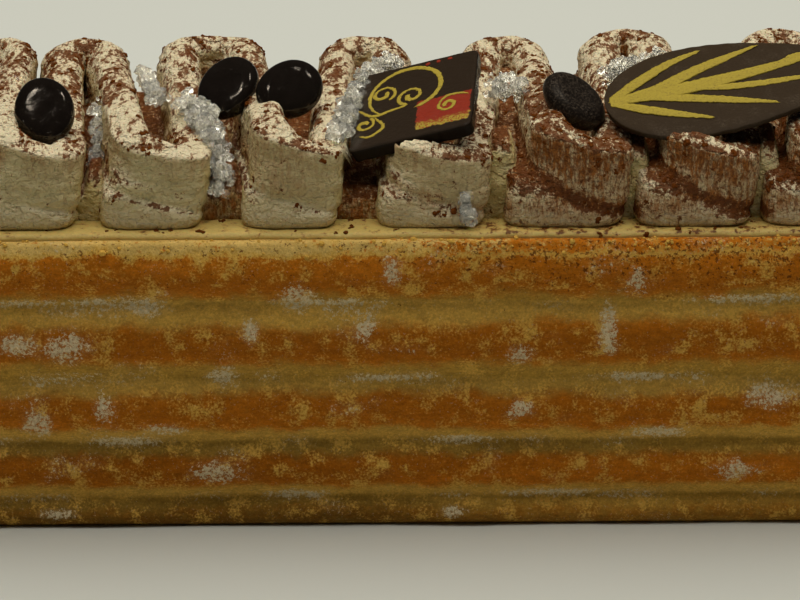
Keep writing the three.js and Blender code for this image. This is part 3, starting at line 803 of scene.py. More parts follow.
def bed_finish(settings, cocoa):
    f = Finish("bed_cream", Roughness=0.5, Subsurface_Weight=0.15, Subsurface_Scale=1.5 * MM)
    fine = f.noise(0.7, 3)
    blots = f.sum(f.noise(1.9, 5, 0.72), f.product(f.read("dust"), 0.13))
    base = f.lay(f.shade(fine, 0.8, 1.2, settings.bed), cocoa.soaked, f.step(blots, 0.58, 0.66), 0.45)
    base = f.lay(base, cocoa.brown, f.step(blots, 0.665, 0.69), 0.9)
    return f.done(Base_Color=base, Normal=f.bump(fine, 0.12 * MM))


# Piped ribbon

def ribbon_route(number):
    """Evenly spaced rows along the ribbon, and its length.

    A row holds x, y, which side is outside, how far the crest has come down, a running number, the
    turn's radius, the middle of the nearest front turn and how high the crest stands there.
    """
    turns = []
    for (front_x, front_r, front_lift), (back_x, back_r, back_lift) in zip(FRONT_TURNS, BACK_TURNS):
        front = np.array((front_x, RIBBON_FRONT + RIBBON_HALF + front_r))
        back = np.array((back_x, RIBBON_BACK - RIBBON_HALF - back_r))
        turns += [(front, front_r, 1, front, front_lift), (back, back_r, -1, back, back_lift)]
    first, first_radius, _, _, first_lift = turns[0]
    rows = [(first[0] - first_radius, RIBBON_END, 1, 1, 0, first_radius, *first, first_lift)]
    arrive, running = math.pi, 5.0
    for k, (middle, radius, way, near, lift) in enumerate(turns):
        leave = 0.0
        if k + 1 < len(turns):
            link = turns[k + 1][0] - middle
            side = math.acos((radius + turns[k + 1][1]) / np.hypot(*link))
            leave = math.atan2(link[1], link[0]) - way * side
        sweep = (way * (leave - arrive)) % (2 * math.pi)
        for share in np.linspace(0, 1, 25):
            angle = arrive + way * sweep * share
            crest = math.cos(math.pi * share) if way > 0 else 1
            x, y = middle + radius * np.array((math.cos(angle), math.sin(angle)))
            rows.append((x, y, way, crest, running + 8 * share, radius, *near, lift))
        running += 13
        arrive = leave + math.pi
    rows.append((rows[-1][0], -RIBBON_END, -1, 1, running, radius, *near, lift))
    line = np.array(rows)
    return evenly(line, number, 2), travel(line[:, :2])[-1]


def section_ring(section, around, way):
    """Evenly spaced points round the ribbon's section and its flat underside, for either way of turning."""
    upper = smooth_line(section, around - 3)
    if way < 0:
        upper = upper[::-1] * (-1, 1)
    return np.vstack([upper, np.linspace(upper[-1], upper[0], 5)[1:]])


def flatten_front(x, y, z, middle_x, middle_y):
    """Front turns are squarer than a circle, most of all at the foot and on their right."""
    across, ahead = x - middle_x, np.minimum(y - middle_y, 0)
    reach = np.hypot(across, ahead) + 1e-9
    power = 5 - rise(z, 3, 14) * np.where(across < 0, 2.8, 1.8)
    square = ((np.abs(across) / reach) ** power + (np.abs(ahead) / reach) ** power) ** (-1 / power)
    square = np.where(ahead < 0, square, 1)
    return middle_x + across * square, np.where(ahead < 0, middle_y + ahead * square, y)


def ribbon_mesh(settings):
    rows, length = ribbon_route(settings.stations + 1)
    ahead = np.gradient(rows[:, :2], axis=0)
    ahead /= np.linalg.norm(ahead, axis=1, keepdims=True)
    front = section_ring(FRONT_SECTION, settings.around, 1)
    back = section_ring(BACK_SECTION, settings.around, -1)

    def shape(u, v):
        station = np.round(u * settings.stations).astype(int)
        corner = np.round(v * settings.around).astype(int)
        x, y, side, crest, running, radius, middle_x, middle_y, lift = rows[station].T
        share = ((1 + side) / 2)[:, None]
        aside, level = (share * front[corner] + (1 - share) * back[corner]).T
        inner = 0.96 * radius
        aside = np.where(side > 0, np.maximum(aside, -inner), np.minimum(aside, inner))
        swell = 0.05 * np.sin(0.9 * running) + 0.03 * np.sin(0.37 * running + 1)
        aside = aside * (1 + swell * rise(level, 4.5, 9))
        lift = RIBBON_SLOPE * crest + lift + 0.25 * MM * np.sin(0.83 * running)
        right = rise(middle_x, 14, 30)
        slope = CREASE_SLOPE * crest + CREASE_RISE * right * np.maximum(crest, 0)
        z = level + slope * rise(level, 0.5, 5) * rise(level, 16, 6) + lift * rise(level, 5, 12)
        ends = np.clip(np.minimum(u, 1 - u) * length / RIBBON_TAPER, 0, 1)
        taper = np.sqrt(1 - (1 - ends) ** 2)
        aside, z = aside * taper, z * (0.2 + 0.8 * taper) * np.sign(taper)
        out_x, out_y = x + ahead[station, 1] * aside, y - ahead[station, 0] * aside
        out_x, out_y = flatten_front(out_x, out_y, z, middle_x, middle_y)
        left = rise(out_x - middle_x, 0, -9) * rise(out_y, -16, -26)
        reach = BEAD_SHIFT + BEAD_REACH * left * right
        lean = RIBBON_LEAN * (z / RIBBON_HEIGHT - 0.5) - reach * rise(level, 6.3, 4.8)
        return np.stack([out_x + lean, out_y, RIBBON_BASE + z], axis=1)

    mesh = net("piped_ribbon", settings.stations, settings.around, shape)
    rough_cream(mesh, settings.wrinkle)
    put(mesh, pressed(places_of(mesh)))
    return mesh


def pressed(places):
    """Places on the cream, kept under the flat toppings that lie on it."""
    for topping, thick in ((PLAQUE, PLAQUE_THICK), (LEAF, LEAF_THICK)):
        matrix = np.array(placement(*topping))
        local = (places - matrix[:3, 3]) @ matrix[:3, :3]
        x, y, z = local.T
        if topping is PLAQUE:
            inside = np.maximum(np.abs(x), np.abs(y)) < PLAQUE_SIDE / 2 + 0.2 * MM
        else:
            inside = (x > 0) & (x < LEAF_LENGTH) & (np.abs(y) < leaf_half_width(x / LEAF_LENGTH) + 0.2 * MM)
        low = -thick - 0.2 * MM
        local[:, 2] = np.where(inside & (z > low) & (z < 9 * MM), low, z)
        places = moved(local, matrix)
    return places


def heap_height(x, y):
    """Height of the cream between the ribbon's legs, over the bed."""
    away = np.abs(x[:, None] - FRONT_TURNS[:, 0][None]).min(axis=1)
    low = HEAP_GAP_LEFT + (HEAP_GAP_RIGHT - HEAP_GAP_LEFT) * rise(x, 5, 22)
    between = low + (HEAP_BACK - low) * rise(y, -2, 20)
    height = HEAP_POCKET + (between - HEAP_POCKET) * rise(away, 8, 12)
    for column_x, wide, high in TORN_COLUMNS:
        height = height + high * ease(np.abs(x - column_x) / wide, 1.5, 0.6) * rise(y, -12, -22)
    return height


def heap_mesh():
    """Cream that fills the ribbon's hollows from below, higher behind the gaps between front turns."""
    half_length = HALF_LENGTH - 12 * MM

    def shape(u, v):
        under = v > HEAP_TOP_SHARE
        y = -HEAP_HALF_WIDTH * np.cos(math.pi * np.clip(v / HEAP_TOP_SHARE, 0, 1))
        back = HEAP_HALF_WIDTH * (1 - 2 * (v - HEAP_TOP_SHARE) / (1 - HEAP_TOP_SHARE))
        y = np.where(under, back, y)
        x = -half_length * np.cos(math.pi * u)
        edge = (1 - (np.abs(y) / HEAP_HALF_WIDTH) ** 12).clip(0) ** 0.3
        ends = (1 - (np.abs(x) / half_length) ** 30).clip(0) ** 0.3
        flat = np.stack([x, y, np.zeros(len(x))], axis=1)
        z = np.where(under, 0, (heap_height(x, y) + uneven(flat, *HEAP_LUMPS)) * edge * ends)
        front = uneven(np.stack([x, z, y], axis=1), HEAP_FACE)
        return np.stack([x, (y + front * ~under) * np.sign(ends), RIBBON_BASE + z], axis=1)

    mesh = net("heap", *HEAP_FACES, shape)
    up = ease(facing(mesh)[:, 2], 0.25, 0.8)
    places = places_of(mesh)
    # Cocoa-soaked colour on the heap's front from about -46 to 10 mm: painted shade in the gaps under the
    # plaque, over some real cocoa
    shaded = rise(places[:, 0], -46, -36) * rise(places[:, 0], 10, 2)
    record(mesh, "dust", up * (0.7 + 0.3 * cocoa_drifts(places)))
    record(mesh, "veil_and_shade", np.maximum(0.75 * up * rise(places[:, 1], -31, -26), 0.75 * shaded))
    record(mesh, "torn", ease(up, 0.9, 0.2))
    # Side: where the heap is given the darker ivory, painted shade
    record(mesh, "side", 1 - up)
    return mesh


def rough_cream(mesh, wrinkle):
    """Lumps, level wrinkles halfway up the blade, a torn rim, where cocoa lies on all that, and painted shade
    on the sides and in the crease.
    """
    places = places_of(mesh)
    height = places[:, 2] - RIBBON_BASE
    push = uneven(places, *CREAM_LUMPS)
    for share, size, seed, band in (
        (1.0, (3.4, 3.4, 1.2), 33, rise(height, 5.5, 7.5) * rise(height, 14, 10.5)),
        (0.4, 1.6, 34, 1),
        (0.6, (3, 3, 1.6), 35, rise(height, 6, 4)),
        (1.1, (1.9, 1.9, 1.2), 40, rise(height, 13.2, 14.6) * rise(height, 16.6, 15.2)),
    ):
        push = push + share * wrinkle * band * grain(places, size, seed)
    put(mesh, places + facing(mesh) * (rise(height, 0.3, 2) * push)[:, None])
    places = places_of(mesh)
    x, y, z = places.T
    way_x, way_y, way_z = facing(mesh).T
    height = z - RIBBON_BASE
    right = 0.25 * rise(x, -9, 2) + 0.75 * rise(x, 14, 30)
    front = rise(y, 0, -20)
    flat = ease(way_z, 0.12, 0.5)
    faces = (1 - flat) * right
    inner = (1 - flat) * rise(y, -31, -26) * rise(height, 16, 9)
    runs = 0.4 * (1 - flat) * rise(height, 8, 16) * ease(grain(places, (5, 9, 20), 44), -0.1, 0.3)
    over = height - crease_height(places)
    # A dark band in the crease under the blade of the right turns: partly cocoa, partly painted shade where
    # the blade overhangs the foot
    crease = right * rise(over, -2.2, -0.4) * rise(over, 2.4, 0.8)
    streak = rise(x, -33, -29) * rise(x, -9, -22)
    runs = np.maximum(runs, 0.3 * (1 - flat) * streak * rise(height, 5, 9))
    drifts = 0.39 - 0.11 * front + 0.1 * (1 - front) * (1 - right) + 0.3 * right * front
    drifts = drifts + 0.46 * cocoa_drifts(places)
    record(mesh, "dust", np.clip(flat * drifts + 0.2 * faces + 0.5 * inner + 0.8 * crease, 0, 1))
    streaked = faces * ease(-way_y, -0.2, 0.5) * (0.62 + 0.38 * rise(height, 8, 15))
    streaked = streaked * (1 - 0.6 * rise(height, 5, 1.5)) * (1 - crease) + crease
    record(mesh, "veil_and_shade", np.max([streaked, 0.75 * inner, runs, crease], axis=0))
    record(mesh, "torn", ease(np.abs(way_x), 0.8, 0.97) * rise(height, 14, 10))
    # Side: painted shade on the cream's sides, less at the foot and on the right
    record(mesh, "side", (1 - flat) * (1 - 0.45 * rise(height, 6, 4)) * (1 - 0.5 * right))


def crease_height(places):
    """Height over the bed of the crease between the ribbon's foot and its blade, on the front turns."""
    away = places[:, 0][:, None] - FRONT_TURNS[:, 0][None]
    across = np.take_along_axis(away, np.abs(away).argmin(axis=1)[:, None], axis=1)[:, 0]
    crest = np.clip(-across / (9 * MM), -1, 1)
    right = rise(places[:, 0], 14, 30)
    return CREASE_HEIGHT + CREASE_SLOPE * crest + CREASE_RISE * right * np.maximum(crest, 0)


def cocoa_drifts(places):
    """How thick the cocoa settled, from 0 to 1, in drifts a few millimetres wide."""
    drifts = grain(places, (6, 11, 6), 41) + 0.8 * grain(places, (2.2, 4, 2.2), 42)
    right = rise(places[:, 0], 10, 30) * rise(places[:, 1], 5, -10)
    return ease(drifts + 0.35 * right, -0.35, 0.4)


def cream_finish(name, settings, cocoa):
    f = Finish(
        name, Roughness=0.65, Specular_IOR_Level=0.25, Subsurface_Weight=0.08, Subsurface_Scale=1.0 * MM,
    )
    fine, cloud = f.noise(0.5, 4, 0.62), f.noise(5, 3)
    # Darker ivory on the sides: painted shade
    tone = f.lay(settings.white, settings.shaded_ivory, f.read("side"), 0.9)
    tone = f.lay(tone, settings.yellow, f.read("torn"), f.step(cloud, 0.35, 0.6), 0.8)
    tone = f.shade(fine, 0.74, 1.24, tone)
    uv = f.node("ShaderNodeUVMap", uv_map="Flow").outputs[0]
    streak = f.noise(1000, 3, 0.6, (900, 9, 1), uv)
    # The veil is soaked cocoa, and painted shade in the heap's gaps and in the ribbon's crease
    dust, coat = f.read("dust"), f.read("veil_and_shade")
    runs = f.noise(1.0, 4, 0.7, (1, 1, 0.24))
    tone = f.lay(tone, cocoa.soaked, coat, f.spread(runs, 0.36, 1.5, 0.40, 0.60), 0.95)
    specks = f.step(f.sum(f.noise(0.45, 3, 0.7, (1, 0.5, 0.5)), f.product(coat, 0.16)), 0.60, 0.68)
    tone = f.lay(tone, cocoa.brown, specks, f.step(coat, 0.1, 0.5), 0.65)
    blots = f.noise(1.5, 5, 0.72, (1, 0.45, 1))
    blots = f.sum(blots, f.product(dust, 0.2), f.product(streak, 0.05))
    tone = f.lay(tone, cocoa.soaked, f.step(blots, 0.60, 0.70), 0.45)
    tone = f.lay(tone, cocoa.brown, f.step(blots, 0.66, 0.70), 0.9)
    dots = f.step(f.sum(f.noise(0.6, 3, 0.68, (1, 0.5, 1)), f.product(dust, 0.2)), 0.69, 0.73)
    tone = f.lay(tone, cocoa.brown, dots, 0.85)
    pits = f.step(f.noise(1.3, 2, 0.55, (0.8, 0.8, 1.1)), 0.36, 0.64)
    relief = f.bump(streak, 0.04 * MM, f.bump(f.noise(4, 2, 0.5), 0.6 * MM))
    return f.done(Base_Color=tone, Normal=f.bump(fine, 0.12 * MM, f.bump(pits, 0.5 * MM, relief)))


# Cocoa and crumbs

def surface_draw(mesh, weights, number, random):
    """Places and normals drawn over a mesh's faces by their area and by a weight of each."""
    middles, normals = read(mesh.polygons, "center"), read(mesh.polygons, "normal")
    chance = read(mesh.polygons, "area", 1) * weights(middles, normals)
    picked = random.choice(len(middles), size=number, p=chance / chance.sum())
    return middles[picked], normals[picked]


def strewn(places, normals, spread, random):
    """Places moved a little along the surface that they lie on."""
    away = random.normal(scale=spread, size=places.shape)
    return places + away - normals * np.sum(away * normals, axis=1, keepdims=True)


def laid_turns(normals, random):
    """Rotation matrices that lay a shape on a surface, turned any way about its normal."""
    aside = np.cross(normals, random.normal(size=normals.shape))
    aside /= np.linalg.norm(aside, axis=1, keepdims=True)
    return np.stack([aside, np.cross(normals, aside), normals], axis=2)


def cocoa_weights(middles, normals):
    """Where cocoa settles: on what faces up, in drifts, and down the front of the right half."""
    up = ease(normals[:, 2], 0.05, 0.6)
    right = rise(middles[:, 0], 10, 30)
    return (up + 0.12 * right * (1 - up)) * (cocoa_drifts(middles) ** 2 + 0.04) + 0.002


def cocoa_mesh(hosts, settings, random):
    """Clumps of cocoa, each of several flat flecks, on the pieces that it fell on."""
    drawn = [surface_draw(mesh, cocoa_weights, int(settings.clumps * share), random) for mesh, share in hosts]
    places, normals = (np.vstack(part) for part in zip(*drawn))
    each = random.integers(2, 9, size=len(places))
    places, normals = np.repeat(places, each, axis=0), np.repeat(normals, each, axis=0)
    places = strewn(places, normals, settings.clump, random)
    sizes = lump_sizes(random, settings.clump, len(places), 0.6) * (1, 1, 0.75)
    return scatter("cocoa", lump(), places, laid_turns(normals, random), sizes)


def crumb_weights(middles, normals):
    """Where crumbs lie: along the sponge's rim, here and there."""
    rim = rise(middles[:, 2] - WALL_TOP, -3.5, -0.5)
    return rim * (middles[:, 2] > WALL_TOP - 4 * MM) * (0.3 + ease(grain(middles, 7, 43), 0, 0.5))


def crumb_mesh(sponge, settings, random):
    places, normals = surface_draw(sponge, crumb_weights, settings.crumbs, random)
    places = strewn(places, normals, CRUMB_SPREAD, random)
    sizes = lump_sizes(random, CRUMB_SIZE, len(places), 0.7)
    room = Vector((CRUMB_ROOM, CRUMB_ROOM, 0))
    places[:, :2] = np.clip(places[:, :2], (SPONGE_LOW + room).xy, (SPONGE_HIGH - room).xy)
    places[:, 2] = np.minimum(places[:, 2], WALL_TOP + CRUMB_RISE)
    return scatter("crumbs", lump(), places, random_turns(random, len(places)), sizes)


def powder_finish(name, tone, roughness):
    f = Finish(name, Roughness=roughness, Specular_IOR_Level=0.08)
    fine = f.noise(0.35, 3, 0.6)
    return f.done(Base_Color=f.shade(fine, 0.6, 1.5, tone), Normal=f.bump(fine, 0.1 * MM))


# Chocolate drops

def drop_mesh(name, matrix, seed):
    profile = smooth_line(DROP_SECTION, 40)

    def shape(u, v):
        out, down = along(profile, v)
        angle = 2 * math.pi * u
        x = np.cos(angle) * out * DROP_LONG / 2
        y = np.sin(angle) * out * DROP_SHORT / 2
        local = np.stack([x, y, down * DROP_THICK], axis=1)
        local[:, :2] *= (1 + 0.035 * grain(local, 6, seed) * ease(out, 0, 0.4))[:, None]
        local[:, 2] += 0.07 * MM * grain(local, 3, seed + 1) - 0.07 * MM
        return moved(local, matrix)

    mesh = net(name, *DROP_FACES, shape)
    # The matt drop is rougher, and lighter bloom covers it: partly fat bloom, partly a painted sheen from the
    # light above
    record(mesh, "matt_and_sheen", np.full(len(mesh.vertices), 1.0 if name == MATT_DROP else 0.0))
    return mesh


def drop_finish(settings):
    f = Finish("dark_chocolate", IOR=1.48, Specular_Tint=(1.0, 0.86, 0.70))
    wrinkle, film = f.noise(0.7, 4, 0.6), f.noise(3, 2)
    blisters = f.step(f.noise(1.1, 2, 0.5), 0.60, 0.70)
    matt_and_sheen = f.read("matt_and_sheen")
    gloss = f.sum(f.spread(film, 0.05, 0.11, 0.3, 0.7), f.product(matt_and_sheen, 0.3))
    # Bloom, dense on the matt drop: partly fat bloom, partly painted sheen
    bloom = f.product(f.step(f.noise(0.4, 3, 0.7), 0.45, 0.75), f.sum(f.product(matt_and_sheen, 0.95), 0.04))
    base = f.mix(bloom, f.shade(film, 0.6, 1.5, settings.black), (0.085, 0.062, 0.042))
    relief = f.bump(wrinkle, 0.03 * MM, f.bump(blisters, 0.10 * MM))
    return f.done(Base_Color=base, Roughness=gloss, Normal=relief)


# Prints: strokes that lie on a topping's face

def stroke(name, points, widths, matrix, lift):
    """A thin tapered line of print through a few points of a topping's face."""
    number = max(12, 6 * len(points))
    line = smooth_line([(x * MM, y * MM) for x, y in points], number)
    half = np.interp(np.linspace(0, 1, number), np.linspace(0, 1, len(widths)), widths) * MM / 2
    ahead = np.gradient(line, axis=0)
    ahead /= np.maximum(np.linalg.norm(ahead, axis=1, keepdims=True), 1e-9)
    course = np.column_stack([line, ahead, half])

    def shape(u, v):
        x, y, ahead_x, ahead_y, wide = along(course, u)
        wide = wide * ease(np.minimum(u, 1 - u), 0, 0.04)
        angle = 2 * math.pi * v
        reach = wide * np.cos(angle)
        z = lift + PRINT_THICK * np.sin(angle) * (wide > 0)
        local = np.stack([x - ahead_y * reach, y + ahead_x * reach, z], axis=1)
        local[:, :2] += PRINT_RAGGED * np.stack([grain(local, 0.5, 51), grain(local, 0.5, 52)], axis=1)
        return moved(local, matrix)

    return net(name, 3 * number, PRINT_SIDES, shape)


def volute(middle, radius, start, turns, shrink=0.18):
    """Points of a scroll that winds inwards: middle and radius in millimetres, start in degrees."""
    steps = np.linspace(0, 1, 5 + int(7 * abs(turns)))
    angle = math.radians(start) + 2 * math.pi * turns * steps
    reach = radius * (1 + (shrink - 1) * steps)
    return [(middle[0] + r * math.cos(a), middle[1] + r * math.sin(a)) for r, a in zip(reach, angle)]


def gold_finish(name, tone):
    f = Finish(name, Roughness=0.55, Specular_IOR_Level=0.15)
    fine = f.noise(0.5, 4, 0.7)
    worn = f.step(f.noise(0.6, 4, 0.8), 0.56, 0.64)
    base = f.lay(f.shade(fine, 0.7, 1.35, tone), (0.10, 0.05, 0.02), worn, 0.55)
    return f.done(Base_Color=base, Normal=f.bump(fine, 0.04 * MM))


# Square plaque

def plaque_mesh(matrix):
    plate = bmesh.new()
    bmesh.ops.create_cube(plate, size=1)
    bmesh.ops.scale(plate, verts=plate.verts, vec=(PLAQUE_SIDE, PLAQUE_SIDE, PLAQUE_THICK))
    upright = [e for e in plate.edges if abs(e.verts[0].co.z - e.verts[1].co.z) > PLAQUE_THICK / 2]
    round_off(plate, upright, PLAQUE_CORNER, 6)
    round_off(plate, [e for e in plate.edges if e.calc_face_angle(0) > 1], PLAQUE_RIM, 4)
    for axis in (Vector((1, 0, 0)), Vector((0, 1, 0))):
        for place in np.linspace(-0.48, 0.48, PLAQUE_CUTS):
            cut(plate, axis * place * PLAQUE_SIDE, axis, 1e-7)
    bmesh.ops.translate(plate, verts=plate.verts, vec=(0, 0, -PLAQUE_THICK / 2))
    mesh = made("square_plaque", plate)
    local = places_of(mesh)
    record(mesh, "face", local, "FLOAT_VECTOR", "vector")
    edge = ease(np.abs(local[:, :2]).max(axis=1), 0.42 * PLAQUE_SIDE, 0.5 * PLAQUE_SIDE)
    under = rise(-local[:, 2], 0.3, 1.6)
    worn = 0.012 * edge * (1 + grain(local, 3, 61)) + 0.02 * edge * under * (1 + grain(local, 2, 62))
    put(mesh, moved(local * (1 - worn)[:, None], matrix))
    return close(mesh)


def round_off(plate, edges, offset, segments):
    bmesh.ops.bevel(
        plate, geom=edges, offset=offset, offset_type="OFFSET", affect="EDGES",
        segments=segments, profile=0.5, material=-1,
    )


def plaque_finish(settings):
    f = Finish("printed_plaque", IOR=1.45)
    face = f.node("ShaderNodeAttribute", attribute_name="face").outputs["Vector"]
    x, y, z = f.node("ShaderNodeSeparateXYZ", {0: face}).outputs
    fine = f.noise(0.5, 4, 0.7)
    wobble = f.swing(f.noise(1.0, 3), 1.6 * MM)
    on_face = f.step(z, -0.45 * MM, -0.2 * MM)
    x, field_y = f.sum(x, wobble), f.sum(y, wobble)
    limits = ((x, 0.9, 1.1), (x, 12.6, 12.4), (field_y, -1.0, -1.2), (field_y, -10.9, -10.6))
    red = f.product(*[f.step(value, low * MM, high * MM) for value, low, high in limits], on_face)
    low = f.step(f.sum(y, f.product(wobble, 2.5)), -8.0 * MM, -9.6 * MM)
    grains = f.product(low, f.step(f.noise(0.4, 2), 0.42, 0.5))
    chocolate = f.lay(settings.plaque, (0.075, 0.05, 0.035), f.step(fine, 0.55, 0.8), 0.3)
    print_colour = f.mix(grains, f.shade(fine, 0.7, 1.3, settings.red), settings.gold)
    base = f.lay(f.mix(red, chocolate, print_colour), settings.black, f.spread(on_face, 0.7, 0.0))
    gloss, sheen = f.spread(on_face, 0.16, 0.32), f.spread(on_face, 0.06, 0.4)
    relief = f.bump(fine, 0.05 * MM, f.bump(f.noise(3), 0.3 * MM))
    return f.done(Base_Color=base, Roughness=gloss, Specular_IOR_Level=sheen, Normal=relief)


def scroll_strokes(matrix):
    """Generic scrolls over the plaque's left half and a small one in the red field."""
    scrolls = [
        (volute((-1.6, 3.6), 8.4, 235, -0.86, 0.80), (0.5, 1.2, 1.0)),
        (volute((-6.9, 4.2), 2.9, -60, 1.35), (0.8, 0.7, 1.3)),
        (volute((-0.6, 1.6), 3.1, -100, -1.4), (0.9, 0.7, 1.3)),
        (volute((-10.2, -5.0), 2.2, 60, -1.2), (0.7, 0.7, 1.3)),
        ([(-12.0, 0.5), (-8.5, -2.6), (-4.6, -2.0), (-1.2, -1.4)], (0.4, 1.0, 0.6)),
        ([(-8.2, -3.2), (-6.0, -6.8), (-8.6, -9.4), (-11.0, -8.6)], (0.4, 0.9, 0.5)),
        (volute((7.6, -4.4), 2.1, 150, 1.25), (0.6, 0.8, 1.3)),
        ([(5.6, -3.4), (7.4, -1.4), (10.4, -1.6), (12.0, -2.6)], (0.6, 0.8, 0.3)),
    ]
    return [stroke("scroll", points, widths, matrix, PRINT_LIFT) for points, widths in scrolls]


def dot_strokes(matrix):
    return [
        stroke("dot", [(x - 0.5, y), (x + 0.5, y + 0.1)], (0.8, 1.0, 0.8), matrix, PRINT_LIFT)
        for x, y in DOTS
    ]


# Leaf

def leaf_half_width(share):
    """Half the leaf's width at a share of its length: a blunt base that narrows to a long point."""
    return LEAF_HALF_WIDTH * np.sin(math.pi * np.clip(share, 0, 1) ** 0.62).clip(0) ** 0.8


def leaf_mesh(matrix):
    def squared(value):
        return np.sign(value) * np.abs(value) ** 0.35

    def shape(u, v):
        share = (1 - np.cos(math.pi * u)) / 2
        angle = 2 * math.pi * v
        across = squared(np.cos(angle))
        x, y = share * LEAF_LENGTH, leaf_half_width(share) * across
        local = np.stack([x, y, np.zeros(len(x))], axis=1)
        ragged = 1 + 0.02 * grain(local, 2.5, 71) * np.abs(across)
        tip = np.minimum(share, 1 - share)
        z = (squared(np.sin(angle)) - 1) * LEAF_THICK / 2 * (0.25 + 0.75 * ease(tip, 0, 0.012))
        z = np.where(tip < 1e-9, -LEAF_THICK / 2, z)
        bow = 0.12 * MM * (grain(local, 9, 72) - 1)
        return moved(np.stack([x, y * ragged, z + bow], axis=1), matrix)

    return net("chocolate_leaf", *LEAF_FACES, shape)


def leaf_finish(settings):
    f = Finish("leaf_chocolate", Roughness=0.5, Specular_IOR_Level=0.15)
    fine, cloud = f.noise(0.45, 4, 0.7), f.noise(4, 4, 0.65)
    bloom = f.product(f.step(cloud, 0.5, 0.72), f.step(fine, 0.4, 0.65), 0.4)
    base = f.mix(bloom, f.shade(fine, 0.7, 1.4, settings.leaf), (0.11, 0.08, 0.05))
    return f.done(Base_Color=base, Normal=f.bump(fine, 0.06 * MM))


def vein_strokes(matrix):
    """Gold veins that fan out from the leaf's blunt end."""
    return [stroke("vein", points, widths, matrix, VEIN_LIFT) for points, widths in VEINS]


# Sugar crystals

def cut_cube():
    """A cube with corners struck off, for the crystals."""
    cube = bmesh.new()
    bmesh.ops.create_cube(cube, size=2)
    for direction, reach in CRYSTAL_CUTS:
        normal = Vector(direction).normalized()
        cut(cube, normal * reach, normal, 1e-6, True)
        bmesh.ops.holes_fill(cube, edges=[e for e in cube.edges if e.is_boundary], sides=0)
    bmesh.ops.recalc_face_normals(cube, faces=cube.faces)
    bmesh.ops.triangulate(cube, faces=cube.faces)
    return made("cut_cube", cube)


def crystal_mesh(name, reach, share, line, size, random):
    spine = smooth_line(np.array(line) * MM, 60)
    length = travel(spine)[-1]
    number = int(share * (52 + 10.0 * length / MM * reach / 3))
    away = random.normal(size=(number, 3))
    away /= np.linalg.norm(away, axis=1, keepdims=True)
    away *= reach * MM * 0.85 * random.uniform(0, 1, size=(number, 1)) ** 0.45
    places = spine[random.integers(len(spine), size=number)] + away
    sizes = size * random.uniform(0.5, 1.7, size=(number, 1)) * random.uniform(0.6, 1.2, size=(number, 3))
    return scatter(name, cut_cube(), places, random_turns(random, number), sizes)


def crystal_finish():
    f = Finish("sugar_crystal", Transmission_Weight=0.86, IOR=1.45, Roughness=0.05)
    cloud = f.shade(f.noise(1.2, 2), 0.9, 1.04, (0.98, 0.95, 0.88))
    return f.done(Base_Color=cloud, Normal=f.bump(f.noise(0.5, 3, 0.6), 0.08 * MM))


# Stage

def floor_mesh(tone):
    grid = bmesh.new()
    bmesh.ops.create_grid(grid, x_segments=4, y_segments=4, size=FLOOR_HALF)
    mesh = made("floor", grid)
    f = Finish("floor", Roughness=0.6, Specular_IOR_Level=0.2)
    mesh.materials.append(f.done(Base_Color=f.shade(f.noise(400, 2), 0.98, 1.02, tone)))
    return mesh


def place_camera():
    data = bpy.data.cameras.new("camera")
    camera = bpy.data.objects.new("camera", data)
    bpy.context.scene.collection.objects.link(camera)
    ahead = Vector((0, math.cos(CAMERA_ELEVATION), -math.sin(CAMERA_ELEVATION)))
    camera.location = CAMERA_AIM - ahead * CAMERA_DISTANCE
    tilt = Matrix.Rotation(math.pi / 2 - CAMERA_ELEVATION, 3, "X")
    camera.rotation_euler = (tilt @ Matrix.Rotation(CAMERA_ROLL, 3, "Z")).to_euler()
    data.sensor_width = SENSOR_WIDTH
    data.lens = SENSOR_WIDTH * PIXELS_PER_METRE * CAMERA_DISTANCE / PICTURE_WIDTH
    data.clip_start, data.clip_end = 0.05, 20
    bpy.context.scene.camera = camera


def lamp(name, at, aim, size, power, shines=True):
    data = bpy.data.lights.new(name, "AREA")
    data.shape, data.size, data.energy, data.color = "DISK", size, power, LIGHT_TONE
    light = bpy.data.objects.new(name, data)
    light.location = at
    light.visible_glossy = shines
    light.rotation_euler = (Vector(aim) - Vector(at)).to_track_quat("-Z", "Y").to_euler()
    bpy.context.scene.collection.objects.link(light)


def light_all_round(settings):
    """A weak light from everywhere; the camera, also through crystals, sees a pale backdrop."""
    world = bpy.data.worlds.new("studio")
    world.use_nodes = True
    world.node_tree.nodes.clear()
    n = Nodes(world.node_tree)
    path = n.node("ShaderNodeLightPath").outputs
    through = path["Is Transmission Ray"]
    seen = n.add("ShaderNodeMath", {0: path["Is Camera Ray"], 1: through}, operation="MAXIMUM")
    bright = n.add("ShaderNodeMath", {0: through, 1: settings.sparkle, 2: 1.0}, operation="MULTIPLY_ADD")
    fill, backdrop = (
        n.add("ShaderNodeBackground", {"Color": settings.backdrop, "Strength": strength})
        for strength in (settings.fill, bright)
    )
    light = n.add("ShaderNodeMixShader", {0: seen, 1: fill, 2: backdrop})
    n.node("ShaderNodeOutputWorld", {"Surface": light})
    bpy.context.scene.world = world


# Operators

class Step:
    """What every operator of the strip shares."""

    bl_options = {"REGISTER", "UNDO"}


class TIRAMISU_OT_stage(Step, Operator):
    """Floor, light and camera"""

    bl_idname = "tiramisu.stage"
    bl_label = "Stage"

    def execute(self, context):
        settings = context.scene.tiramisu.stage
        floor = bpy.data.objects.new("floor", floor_mesh(settings.floor))
        context.scene.collection.objects.link(floor)
        lamp("key", *KEY_LIGHT, settings.key, shines=False)
        for name, at in GLINTS.items():
            lamp(name, at, GLINT_AIM, GLINT_SIZE, settings.glint)
        light_all_round(settings)
        context.scene.view_settings.view_transform = "Standard"
        place_camera()
        return {"FINISHED"}


